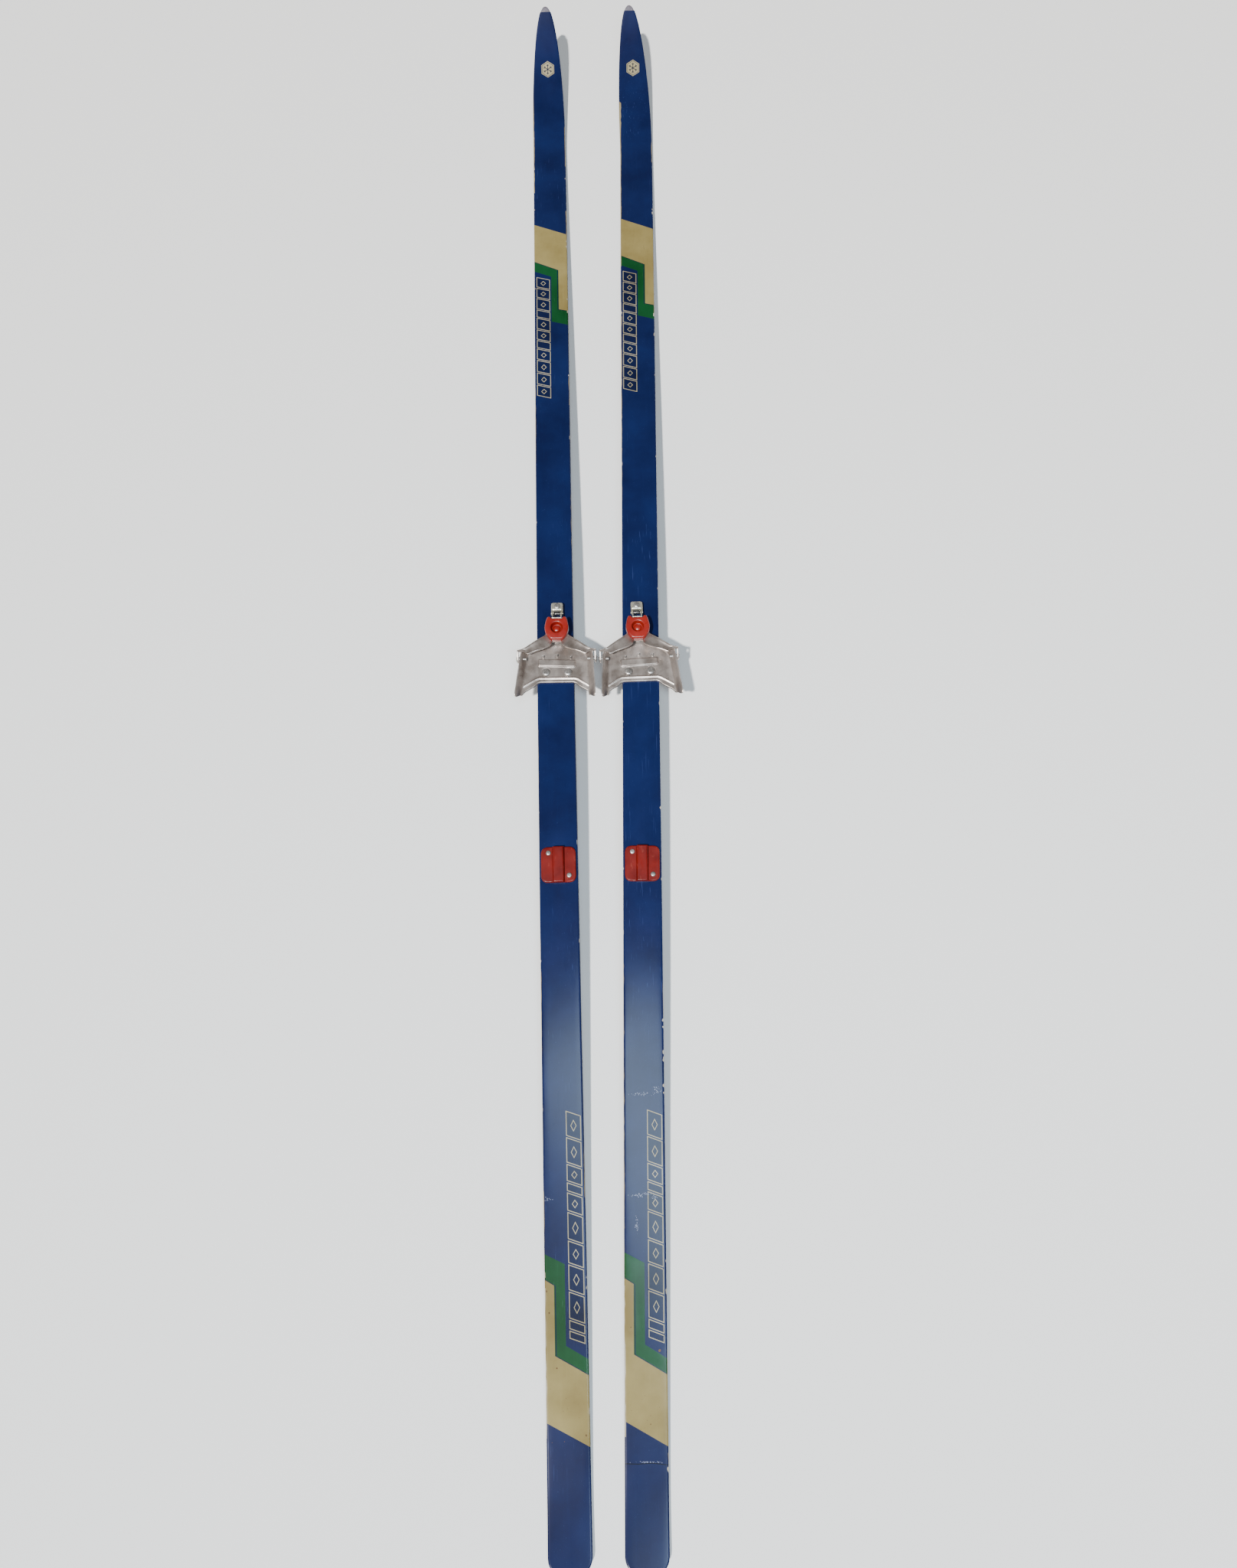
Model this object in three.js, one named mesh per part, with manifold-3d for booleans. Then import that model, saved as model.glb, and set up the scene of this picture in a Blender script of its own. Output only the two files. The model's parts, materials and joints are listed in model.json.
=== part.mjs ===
// A pair of cross country touring skis with sprung-latch three-pin bindings and heel plates.
// Millimetres, +Z up, +Y towards the tips. The origin is on the floor at the middle of the pair.
import * as THREE from 'three';
import { mergeVertices } from 'three/addons/utils/BufferGeometryUtils.js';
import Module from 'manifold-3d';

const wasm = await Module();
wasm.setup();

// ---- driving dimensions: the pair ---------------------------------------------------------
const GAP = 0.3;                 // clearance between pieces that touch
const SKI_SPACING = 106.6;       // centre to centre across the pin lines
const SPLAY = 0.78;              // each ski turns its tip outwards, degrees
const TIP_SWEEP = { left: 0, right: -10 };      // how far each tip is set to one side
const BINDING_TURN = { left: -0.9, right: 2.2 };  // each binding's own turn on its ski, degrees
const BINDING_INWARD = 2.2;      // both sit a little off their ski's middle, towards the other ski

// ---- driving dimensions: the ski, measured along Y from the pin line -----------------------
const TIP = 1048;
const TAIL = -1007;
const FRONT_CONTACT = 835;
const REAR_CONTACT = -930;
const CAMBER = 26;
const TIP_RISE = 72;
const TAIL_RISE = 3;
const SHOVEL_WIDTH = 47.4;
const WAIST_WIDTH = 45.6;
const TAIL_WIDTH = 46.2;
const TIP_TAPER = 170;           // length over which the outline closes to the tip
const TAIL_CORNER = 16;
const THICKNESS = [
  [TAIL, 7.8], [REAR_CONTACT, 8.6], [-600, 13.5], [-330, 19], [-120, 23],
  [110, 23], [400, 16.5], [700, 10.6], [FRONT_CONTACT, 8.6], [TIP, 6.2],
];
const THICKNESS_BLEND = 55;      // half the length over which the thickness turns a corner
const SOLE = 1.4;
const LAMINATE = 0.7;
const TOP_SHEET = 1.4;
const SIDEWALL = 2.2;
const GROOVE_WIDTH = 9;
const GROOVE_DEPTH = 0.9;
const CAP_LENGTH = 7;            // bare plastic nose ahead of the top sheet
const TIP_SPACER = 18;           // length of the plastic spacers behind each end
const TAIL_SPACER = 12;

// ---- driving dimensions: the binding, from its pin line and the ski's top surface ----------
const FLOOR = 2.2;
const SEAT = GAP + FLOOR;        // height of the boot seat
const EAR_TOP = 13.8;
const EAR_LEAN = 5.5;
const EAR_SHEET = 1.8;
const EAR_REAR = -56;
const EAR_SLANT = 6;             // how much shorter the ear is along its foot than along its lip
const EAR_BASE_FRONT = 38.3;     // half the boot width at the pins, with clearance
const EAR_BASE_REAR = { outer: 45.5, inner: 41.5 };
const PLATE_SKEW = 2.2;          // pins and rib lie askew to the plate, degrees
const PIN_SPACING = 17;
const PIN_LEAD = 1.7;            // the centre pin stands this far ahead
const PIN_RADIUS = 1.3;
const PIN_HEIGHT = 5.5;
const PIVOT = { y: -4, z: 8, radius: 2 };
const LUG = { inner: 47.1, sheet: 1.8, radius: 5.2 };
const BAIL_SHEET = 2;
const BAIL_SEAT = 14.8;          // underside of the bail over the boot's sole
const KNOB = { front: 49.4, rear: 18.4, base: 9.8, top: 18.6, cupY: 34.5, cupRadius: 7.8, cupDepth: 6.4 };
const CROSSBAR = { y: 48.3, z: 16, size: 1.8 };
const LATCH_PIN = { y: 59.5, z: 4.5, radius: 1.2 };
const HEAD = { rear: 62.5, front: 74, width: 15, height: 8.2 };
const SCREW = { shank: 2.1, length: 13, head: 5, rise: 2.4 };
const PLATE_SCREWS = [[-13.6, -20], [13.6, -20], [0, 25]];
const LATCH_SCREW_Y = 68;

// ---- driving dimensions: the heel plate -----------------------------------------------------
const HEEL = { y: -264.5, width: 41.4, length: 43, corner: 7, sheet: 3.2, ridge: 14, ridgeTop: 7.2 };
const HEEL_SCREWS = [[-11.8, 14], [12.6, -13.3]];
const HEEL_SCREW = { shank: 1.7, length: 12, head: 2.9, rise: 1.4 };

const radians = THREE.MathUtils.degToRad;
const finish = (color, roughness, metalness) => new THREE.MeshStandardMaterial({ color, roughness, metalness });
const looks = {
  sole: finish(0x1c1d20, 0.45, 0),
  laminate: finish(0xb9b48f, 0.5, 0),
  wood: finish(0xb88a52, 0.7, 0),
  sidewall: finish(0x101c3c, 0.45, 0),
  navy: finish(0x17306b, 0.25, 0),
  cap: finish(0x6f6a78, 0.6, 0),
  alloy: finish(0x9c9084, 0.42, 0.9),
  steel: finish(0xb9b9bc, 0.3, 1),
  chrome: finish(0xd8d8da, 0.12, 1),
  red: finish(0xb8322a, 0.35, 0),
};

// ---- solid helpers --------------------------------------------------------------------------
function volume(geometry) {
  const { array } = geometry.getAttribute('position');
  const { array: index } = geometry.index;
  const corners = [new THREE.Vector3(), new THREE.Vector3(), new THREE.Vector3()];
  let total = 0;
  for (let i = 0; i < index.length; i += 3) {
    corners.forEach((corner, k) => corner.fromArray(array, 3 * index[i + k]));
    total += corners[0].dot(corners[1].clone().cross(corners[2])) / 6;
  }
  return total;
}

function flipped(geometry) {
  const index = geometry.index.array;
  for (let i = 0; i < index.length; i += 3) {
    [index[i + 1], index[i + 2]] = [index[i + 2], index[i + 1]];
  }
  return geometry;
}

function closed(points, triangles) {
  const geometry = new THREE.BufferGeometry();
  geometry.setAttribute('position', new THREE.Float32BufferAttribute(points, 3));
  geometry.setIndex(triangles);
  return volume(geometry) < 0 ? flipped(geometry) : geometry;
}

function bare(geometry) {
  const copy = geometry.clone();
  Object.keys(copy.attributes).filter((name) => name !== 'position').forEach((name) => copy.deleteAttribute(name));
  const merged = mergeVertices(copy, 1e-4);
  return volume(merged) < 0 ? flipped(merged) : merged;
}

function solid(geometry) {
  const merged = bare(geometry);
  return new wasm.Manifold(new wasm.Mesh({
    numProp: 3,
    vertProperties: new Float32Array(merged.getAttribute('position').array),
    triVerts: new Uint32Array(merged.index.array),
  }));
}

function geometryOf(manifold) {
  const mesh = manifold.getMesh();
  return closed(Array.from(mesh.vertProperties), Array.from(mesh.triVerts));
}

const join = (...geometries) => geometryOf(geometries.map(solid).reduce((a, b) => a.add(b)));
const cut = (geometry, ...tools) => geometryOf(tools.map(solid).reduce((a, b) => a.subtract(b), solid(geometry)));
const common = (a, b) => geometryOf(solid(a).intersect(solid(b)));

// A solid through a row of rings, each a closed loop of [x, y, z] points, capped at both ends.
function loft(rings) {
  const count = rings[0].length;
  const points = rings.flat(2);
  const triangles = [];
  for (let i = 0; i + 1 < rings.length; i += 1) {
    for (let k = 0; k < count; k += 1) {
      const [a, b] = [i * count + k, i * count + ((k + 1) % count)];
      triangles.push(a, b, a + count, b, b + count, a + count);
    }
  }
  const last = (rings.length - 1) * count;
  const flat = flattened(rings[0]);
  THREE.ShapeUtils.triangulateShape(flat, []).forEach(([a, b, c]) => {
    const forward = THREE.ShapeUtils.isClockWise(flat) ? [a, b, c] : [a, c, b];
    triangles.push(...forward);
    triangles.push(...[...forward].reverse().map((k) => last + k));
  });
  return oriented(points, triangles, count);
}

// A ring seen along the direction in which it is thinnest.
function flattened(ring) {
  const spans = [0, 1, 2].map((axis) => {
    const values = ring.map((point) => point[axis]);
    return Math.max(...values) - Math.min(...values);
  });
  const thin = spans.indexOf(Math.min(...spans));
  const [u, v] = [0, 1, 2].filter((axis) => axis !== thin);
  return ring.map((point) => new THREE.Vector2(point[u], point[v]));
}

// The caps' winding is matched to the walls' before the whole body is turned outwards.
function oriented(points, triangles, count) {
  const directed = new Set();
  let clash = false;
  for (let i = 0; i < triangles.length; i += 3) {
    for (let k = 0; k < 3; k += 1) {
      const key = `${triangles[i + k]},${triangles[i + ((k + 1) % 3)]}`;
      clash = clash || directed.has(key);
      directed.add(key);
    }
  }
  if (!clash) return closed(points, triangles);
  const walls = 6 * count * (points.length / (3 * count) - 1);
  const caps = triangles.slice(walls);
  for (let i = 0; i < caps.length; i += 3) {
    [caps[i + 1], caps[i + 2]] = [caps[i + 2], caps[i + 1]];
  }
  return closed(points, [...triangles.slice(0, walls), ...caps]);
}

const shapeOf = (points) => new THREE.Shape(points.map(([x, y]) => new THREE.Vector2(x, y)));

// A flat outline in X and Y raised from z0 to z1.
function slab(points, z0, z1, bevel = 0) {
  const options = { depth: z1 - z0 - 2 * bevel, bevelEnabled: bevel > 0, bevelSize: bevel, curveSegments: 4 };
  Object.assign(options, { bevelThickness: bevel, bevelOffset: -bevel, bevelSegments: 1 });
  const shape = Array.isArray(points) ? shapeOf(points) : points;
  return new THREE.ExtrudeGeometry(shape, options).translate(0, 0, z0 + bevel);
}

// An outline in Y and Z carried from x0 to x1.
function sidePlate(points, x0, x1) {
  const raised = new THREE.ExtrudeGeometry(shapeOf(points), { depth: x1 - x0, bevelEnabled: false });
  const turn = new THREE.Matrix4().makeBasis(
    new THREE.Vector3(0, 1, 0),
    new THREE.Vector3(0, 0, 1),
    new THREE.Vector3(1, 0, 0),
  );
  return raised.applyMatrix4(turn).translate(x0, 0, 0);
}

const rod = (radius, z0, z1, x, y, sides = 12) => new THREE.CylinderGeometry(radius, radius, z1 - z0, sides)
  .rotateX(Math.PI / 2).translate(x, y, (z0 + z1) / 2);
const crossRod = (radius, x0, x1, y, z, sides = 12) => new THREE.CylinderGeometry(radius, radius, x1 - x0, sides)
  .rotateZ(Math.PI / 2).translate((x0 + x1) / 2, y, z);

// A body turned about +Z from [radius, height] points, first and last on the axis.
function turned(profile, segments = 12) {
  const points = profile.map(([radius, height]) => new THREE.Vector2(radius, height));
  return new THREE.LatheGeometry(points, segments).rotateX(Math.PI / 2);
}

function arcPoints(cx, cy, radius, from, to, steps) {
  return Array.from({ length: steps + 1 }, (_, i) => {
    const angle = radians(from + ((to - from) * i) / steps);
    return [cx + radius * Math.cos(angle), cy + radius * Math.sin(angle)];
  });
}

function roundedRectangle(width, length, corner, steps = 4) {
  const [x, y] = [width / 2 - corner, length / 2 - corner];
  const corners = [[x, y, 0], [-x, y, 90], [-x, -y, 180], [x, -y, 270]];
  return corners.flatMap(([cx, cy, from]) => arcPoints(cx, cy, corner, from, from + 90, steps));
}

// ---- the ski's own shape ----------------------------------------------------------------------
const ease = (t) => THREE.MathUtils.smoothstep(t, 0, 1);

function table(rows, y) {
  const next = rows.findIndex(([at]) => at >= y);
  if (next === 0) return rows[0][1];
  if (next < 0) return rows[rows.length - 1][1];
  const [[y0, t0], [y1, t1]] = [rows[next - 1], rows[next]];
  return THREE.MathUtils.mapLinear(y, y0, y1, t0, t1);
}

function thickness(y) {
  const offsets = [-1, -0.5, 0, 0.5, 1].map((step) => step * THICKNESS_BLEND);
  return offsets.reduce((sum, offset) => sum + table(THICKNESS, y + offset), 0) / offsets.length;
}

function bottom(y) {
  const along = THREE.MathUtils.clamp((y - REAR_CONTACT) / (FRONT_CONTACT - REAR_CONTACT), 0, 1);
  const arch = CAMBER * Math.sin(Math.PI * along) ** 1.3;
  const tip = TIP_RISE * (Math.max(0, y - FRONT_CONTACT) / (TIP - FRONT_CONTACT)) ** 2;
  const tail = TAIL_RISE * (Math.max(0, REAR_CONTACT - y) / (REAR_CONTACT - TAIL)) ** 2;
  return arch + tip + tail;
}

const top = (y) => bottom(y) + thickness(y);

function halfWidth(y) {
  const forward = (SHOVEL_WIDTH - WAIST_WIDTH) * ease(y / FRONT_CONTACT);
  const backward = (TAIL_WIDTH - WAIST_WIDTH) * ease(y / REAR_CONTACT);
  const side = (WAIST_WIDTH + forward + backward) / 2;
  if (y > TIP - TIP_TAPER) {
    const open = 1 - (1 - (TIP - y) / TIP_TAPER) ** 2;
    return Math.max(side * open ** 0.44, 1.6);
  }
  const corner = Math.max(0, TAIL + TAIL_CORNER - y);
  return side - TAIL_CORNER + Math.sqrt(TAIL_CORNER ** 2 - corner ** 2);
}

const tipSweep = (y, sweep) => sweep * (Math.max(0, y - FRONT_CONTACT) / (TIP - FRONT_CONTACT)) ** 1.6;

// Places along the ski where sections are taken: close together at both ends.
function stations(from, to) {
  const span = (a, b, steps) => Array.from({ length: steps }, (_, i) => a + ((b - a) * i) / steps);
  const tailEnd = [0, 0.8, 3, 7, 12, 16].map((step) => TAIL + step);
  const tipEnd = [26, 18, 12, 7, 3, 0.8, 0].map((step) => TIP - step);
  const middle = span(REAR_CONTACT, FRONT_CONTACT, 16);
  const all = [...tailEnd, -958, ...middle, ...span(FRONT_CONTACT, TIP - 36, 8), TIP - 36, ...tipEnd];
  const inside = all.filter((y) => y > from + 0.5 && y < to - 0.5);
  return [from, ...inside, to];
}

// A layer of the ski: section(y) gives its [x, height above the sole] loop.
function layer(from, to, sweep, section) {
  return loft(stations(from, to).map((y) => section(y).map(([x, z]) => [x + tipSweep(y, sweep), y, bottom(y) + z])));
}

const band = (x0, x1, z0, z1) => [[x0, z0], [x1, z0], [x1, z1], [x0, z1]];

function soleSection(y) {
  const half = halfWidth(y);
  const fade = ease((TIP - 120 - y) / 60);
  const groove = Math.min(GROOVE_WIDTH / 2, half * 0.4);
  const deep = 0.05 + GROOVE_DEPTH * fade;
  const notch = [[-groove, 0], [-groove + 0.8, deep], [groove - 0.8, deep], [groove, 0]];
  return [[-half, 0], ...notch, [half, 0], [half, SOLE], [-half, SOLE]];
}

function topSheetSection(y) {
  const [half, z] = [halfWidth(y), thickness(y)];
  const round = [[half, z - 0.8], [half - 1.8, z]];
  const mirrored = round.map(([x, height]) => [-x, height]).reverse();
  return [[-half, z - TOP_SHEET], [half, z - TOP_SHEET], ...round, ...mirrored];
}

const insideFrom = SOLE + GAP;
const insideTo = (y) => thickness(y) - TOP_SHEET - GAP;
const innerHalf = (y) => halfWidth(y) - SIDEWALL - GAP;

function skiPieces(sweep, holes) {
  const noseFrom = TIP - CAP_LENGTH;
  const [coreFrom, coreTo] = [TAIL + TAIL_SPACER, TIP - TIP_SPACER];
  const sheetTo = noseFrom - GAP;
  const inner = (z0, z1) => layer(coreFrom, coreTo, sweep, (y) => band(-innerHalf(y), innerHalf(y), z0(y), z1(y)));
  const wall = (side) => layer(coreFrom, coreTo, sweep, (y) => {
    const edges = [side * halfWidth(y), side * (halfWidth(y) - SIDEWALL)];
    return band(Math.min(...edges), Math.max(...edges), insideFrom, insideTo(y));
  });
  const laminateTop = insideFrom + LAMINATE;
  const upperFrom = (y) => insideTo(y) - LAMINATE;
  const spacer = (from, to) => layer(from, to, sweep, (y) => band(-halfWidth(y), halfWidth(y), insideFrom, insideTo(y)));
  const nose = layer(noseFrom, TIP, sweep, (y) => band(-halfWidth(y), halfWidth(y), 0.5, thickness(y) - 0.4));
  return {
    sole: [layer(TAIL, sheetTo, sweep, soleSection), looks.sole],
    lower_laminate: [inner(() => insideFrom, () => laminateTop), looks.laminate],
    core: [drilled(inner(() => laminateTop + GAP, (y) => upperFrom(y) - GAP), holes), looks.wood],
    sidewall_left: [wall(-1), looks.sidewall],
    sidewall_right: [wall(1), looks.sidewall],
    upper_laminate: [drilled(inner(upperFrom, insideTo), holes), looks.laminate],
    top_sheet: [drilled(layer(TAIL, sheetTo, sweep, topSheetSection), holes), looks.navy],
    tip_spacer: [join(spacer(coreTo + GAP, noseFrom + 0.5), nose), looks.cap],
    tail_spacer: [spacer(TAIL, coreFrom - GAP), looks.cap],
  };
}

const drilled = (geometry, holes) => cut(geometry, ...holes);

// ---- fasteners ----------------------------------------------------------------------------------
// A pan-head wood screw whose head rests at height seat.
function screw({ shank, length, head, rise }, seat) {
  const profile = [[0, -length], [shank, 4 - length], [shank, 0], [head, 0], [head, rise * 0.4]];
  profile.push([head * 0.65, rise], [0, rise]);
  return turned(profile).translate(0, 0, seat);
}

function pin() {
  const tipHeight = SEAT + PIN_HEIGHT;
  const profile = [[0, 0.6], [PIN_RADIUS, 0.6], [PIN_RADIUS, tipHeight - 1.5], [0.6, tipHeight], [0, tipHeight]];
  return turned(profile, 8);
}

// ---- the toe plate -------------------------------------------------------------------------------
// The ear's base line from the front lip to the rear corner: [x, y, wall height above the seat].
function earLine(rear) {
  const height = EAR_TOP - SEAT;
  const front = [[10, 17.6, 2], [18, 14.9, 2.5], [26.5, 11.4, 4], [33, 7, 7.5], [36.8, 2.6, height]];
  const straight = [-2, -14, -28, -42, -53, EAR_REAR].map((y) => {
    const x = THREE.MathUtils.mapLinear(y, 0, EAR_REAR, EAR_BASE_FRONT, rear);
    return [x, y, y === EAR_REAR ? height - 2.5 : height];
  });
  return [...front, ...straight];
}

function earWall(rear, side) {
  const line = earLine(rear);
  const rings = line.map(([x, y, height], i) => {
    const [before, after] = [line[Math.max(0, i - 1)], line[Math.min(line.length - 1, i + 1)]];
    const along = new THREE.Vector2(after[0] - before[0], after[1] - before[1]).normalize();
    const out = [-along.y, along.x];
    const reach = EAR_LEAN * (height / (EAR_TOP - SEAT));
    const inner = [[-0.8, GAP + 0.1], [0, SEAT + 0.6], [reach * 0.2, SEAT + height * 0.35], [reach, SEAT + height]];
    const outer = inner.map(([offset, z]) => [offset + EAR_SHEET, z]).reverse();
    const slant = (z) => EAR_SLANT * Math.max(0, (y + 42) / (EAR_REAR + 42)) * (1 - Math.max(0, (z - SEAT) / height));
    return [...inner, ...outer].map(([offset, z]) => [side * (x + out[0] * offset), y + out[1] * offset + slant(z), z]);
  });
  return loft(rings);
}

function plateOutline() {
  const edge = (rear) => {
    const line = earLine(rear).slice(0, -2).map(([x, y]) => [x + 0.4, y]);
    return [[6, 33], [6.4, 20], ...line, [rear, -49.6], [rear - 2, -50], [40, -45.8], [27, -38], [24.4, -34.8], [21, -33.3]];
  };
  const outer = edge(EAR_BASE_REAR.outer);
  const inner = edge(EAR_BASE_REAR.inner).map(([x, y]) => [-x, y]).reverse();
  return [...outer, ...inner];
}

function toePlate() {
  const floor = slab(plateOutline(), GAP, SEAT);
  const rib = slab(roundedRectangle(46, 9, 1.5, 2), SEAT - 0.5, SEAT + 1.2, 0.4).translate(0, -7.6, 0).rotateZ(radians(PLATE_SKEW));
  const bead = [[-39, -37.6], [-26.5, -29], [-22, -27.5], [22, -27.5], [26.5, -29], [41, -38.2]];
  const strip = [...bead.map(([x, y]) => [x, y + 1.1]), ...bead.map(([x, y]) => [x, y - 1.1]).reverse()];
  const ridge = slab(strip, SEAT - 0.5, SEAT + 0.9);
  const ears = [earWall(EAR_BASE_REAR.outer, 1), earWall(EAR_BASE_REAR.inner, -1)];
  const screwHoles = PLATE_SCREWS.map(([x, y]) => rod(SCREW.shank + GAP, -1, 8, x, y));
  const pinHoles = pinPlaces().map(([x, y]) => rod(PIN_RADIUS + GAP, -1, 8, x, y, 8));
  const pivotHole = crossRod(PIVOT.radius + GAP, -60, 60, PIVOT.y, PIVOT.z);
  return cut(join(floor, rib, ridge, ...ears), ...screwHoles, ...pinHoles, pivotHole);
}

function pinPlaces() {
  const places = [[-PIN_SPACING, 0], [0, PIN_LEAD], [PIN_SPACING, 0]];
  return places.map(([x, y]) => {
    const turn = new THREE.Vector2(x, y).rotateAround(new THREE.Vector2(), radians(PLATE_SKEW));
    return [turn.x, turn.y];
  });
}

// A rivet from inside the ear, through the ear and the bail's lug, shouldered between them.
function pivotRivet(side) {
  const lugOut = LUG.inner + LUG.sheet;
  const ring = PIVOT.radius + 1;
  const profile = [
    [0, 38], [2.3, 38], [2.3, 39.1], [PIVOT.radius, 39.1], [PIVOT.radius, 45.3],
    [ring, 45.3], [ring, LUG.inner - GAP], [PIVOT.radius, LUG.inner - GAP],
    [PIVOT.radius, lugOut + GAP], [3.6, lugOut + GAP], [2.4, lugOut + 1.5], [0, lugOut + 1.5],
  ];
  return turned(profile).rotateY(Math.PI / 2).scale(side, 1, 1).translate(0, PIVOT.y, PIVOT.z);
}

// ---- the bail and its knob ---------------------------------------------------------------------------
// Front and rear edges of half the bail's sheet, underside, from the middle out to the lug.
const BAIL_EDGES = [
  [[0, 40, 7.5], [0, 18.5, 7.9]],
  [[6, 40, 7.5], [5.4, 17.8, 8.4]],
  [[11, 36, 7.6], [6.4, 14.5, 11.5]],
  [[14.5, 28, 8.6], [7.6, 11, BAIL_SEAT]],
  [[19.5, 22.8, 12], [13, 7.4, BAIL_SEAT]],
  [[27, 17, BAIL_SEAT - 0.5], [22, 4, BAIL_SEAT]],
  [[34, 11.8, BAIL_SEAT], [29.5, 1.4, BAIL_SEAT]],
  [[39, 8.8, BAIL_SEAT], [36.4, -0.8, BAIL_SEAT]],
  [[43, 7.2, BAIL_SEAT], [40.6, 2.6, BAIL_SEAT]],
  [[48.6, 5, BAIL_SEAT], [48.6, 2.6, BAIL_SEAT]],
];

// The pressed sheet, or the room that it needs in the knob: grown, and open down to a floor.
function bailSheet(grow = 0, underside = (z) => z) {
  const mirrored = BAIL_EDGES.slice(1).reverse().map((pair) => pair.map(([x, y, z]) => [-x, y, z]));
  const rings = [...mirrored, ...BAIL_EDGES].map(([front, rear]) => {
    const [ahead, behind] = [[front[0], front[1] + grow, front[2]], [rear[0], rear[1] - grow, rear[2]]];
    const middle = [0, 1, 2].map((k) => (ahead[k] + behind[k]) / 2 + (k === 2 ? 0.35 : 0));
    const under = [ahead, middle, behind].map(([x, y, z]) => [x, y, underside(z)]);
    const over = [behind, middle, ahead].map(([x, y, z]) => [x, y, z + BAIL_SHEET + grow]);
    return [...under, ...over];
  });
  return loft(rings);
}

function bail() {
  const sheet = bailSheet();
  const disc = arcPoints(PIVOT.y, PIVOT.z, LUG.radius, 125, 390, 14);
  const lug = [...disc, [5, BAIL_SEAT - 1], [5, BAIL_SEAT + BAIL_SHEET], [2.6, BAIL_SEAT + BAIL_SHEET]];
  const lugs = [1, -1].map((side) => {
    const ends = [side * LUG.inner, side * (LUG.inner + LUG.sheet)];
    return sidePlate(lug, Math.min(...ends), Math.max(...ends));
  });
  const pivotHole = crossRod(PIVOT.radius + 0.2, -60, 60, PIVOT.y, PIVOT.z);
  return cut(join(sheet, ...lugs), pivotHole, rod(2.1, 5, 13, 0, KNOB.cupY));
}

function knobOutline() {
  const half = [[11.2, 1], [13, 0.88], [15.3, 0.52], [13.4, 0.25], [7.8, 0]];
  const along = (t) => THREE.MathUtils.lerp(KNOB.rear, KNOB.front, t);
  const right = half.map(([x, t]) => [x, along(t)]);
  return [...right, ...right.map(([x, y]) => [-x, y]).reverse()];
}

function poleCup() {
  const body = slab(knobOutline(), KNOB.base, KNOB.top, 1.2);
  const cup = turned([[0, 0], [KNOB.cupRadius - 1.8, 0], [KNOB.cupRadius, KNOB.cupDepth + 1], [0, KNOB.cupDepth + 1]], 16);
  cup.translate(0, KNOB.cupY, KNOB.top - KNOB.cupDepth);
  const notch = new THREE.BoxGeometry(14, 6, 20).translate(0, KNOB.front + 0.5, KNOB.base + 4);
  return cut(body, cup, notch, bailSheet(GAP, () => 5), rod(2.1, 5, 20, 0, KNOB.cupY));
}

function cupRivet() {
  const floor = KNOB.top - KNOB.cupDepth + GAP;
  const profile = [[0, 5.9], [3, 5.9], [3, 7.1], [1.8, 7.1], [1.8, floor], [4.8, floor], [3.4, floor + 1.3], [0, floor + 1.9]];
  return turned(profile).translate(0, KNOB.cupY, 0);
}

// ---- the latch -------------------------------------------------------------------------------------------
function latchStirrup() {
  const eye = arcPoints(LATCH_PIN.y, LATCH_PIN.z, 2.4, -150, 60, 12);
  const bar = [[CROSSBAR.y + 1, CROSSBAR.z + 0.9], [CROSSBAR.y - 0.9, CROSSBAR.z + 0.9], [CROSSBAR.y - 0.9, CROSSBAR.z - 0.9]];
  const hole = crossRod(LATCH_PIN.radius + 0.12, -20, 20, LATCH_PIN.y, LATCH_PIN.z);
  const sides = [sidePlate([...eye, ...bar], 4.7, 6.2), sidePlate([...eye, ...bar], -6.2, -4.7)];
  const size = CROSSBAR.size;
  const crossbar = new THREE.BoxGeometry(12, size, size).translate(0, CROSSBAR.y, CROSSBAR.z);
  return cut(join(...sides, crossbar), hole);
}

function latchHead() {
  const length = HEAD.front - HEAD.rear;
  const outline = roundedRectangle(HEAD.width, length, 3.2, 3);
  const body = slab(outline, GAP, HEAD.height, 1.4).translate(0, (HEAD.front + HEAD.rear) / 2, 0);
  const ear = [[HEAD.rear + 3, 1.5], [HEAD.rear + 3, 6.8], ...arcPoints(LATCH_PIN.y, LATCH_PIN.z, 2.5, 90, 270, 8)];
  const ears = [sidePlate(ear, 6.5, 7.4), sidePlate(ear, -7.4, -6.5)];
  const hole = crossRod(LATCH_PIN.radius + GAP, -20, 20, LATCH_PIN.y, LATCH_PIN.z);
  return cut(join(body, ...ears), hole, rod(SCREW.shank + GAP, -1, 20, 0, LATCH_SCREW_Y));
}

function latchSpring() {
  class Coil extends THREE.Curve {
    getPoint(t, target = new THREE.Vector3()) {
      const angle = 2 * Math.PI * 3.5 * t;
      return target.set(-3.6 + 7.2 * t, LATCH_PIN.y + 2.2 * Math.cos(angle), LATCH_PIN.z + 2.2 * Math.sin(angle));
    }
  }
  const wire = shapeOf(arcPoints(0, 0, 0.4, 0, 288, 4));
  return new THREE.ExtrudeGeometry(wire, { steps: 36, bevelEnabled: false, extrudePath: new Coil() });
}

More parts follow.
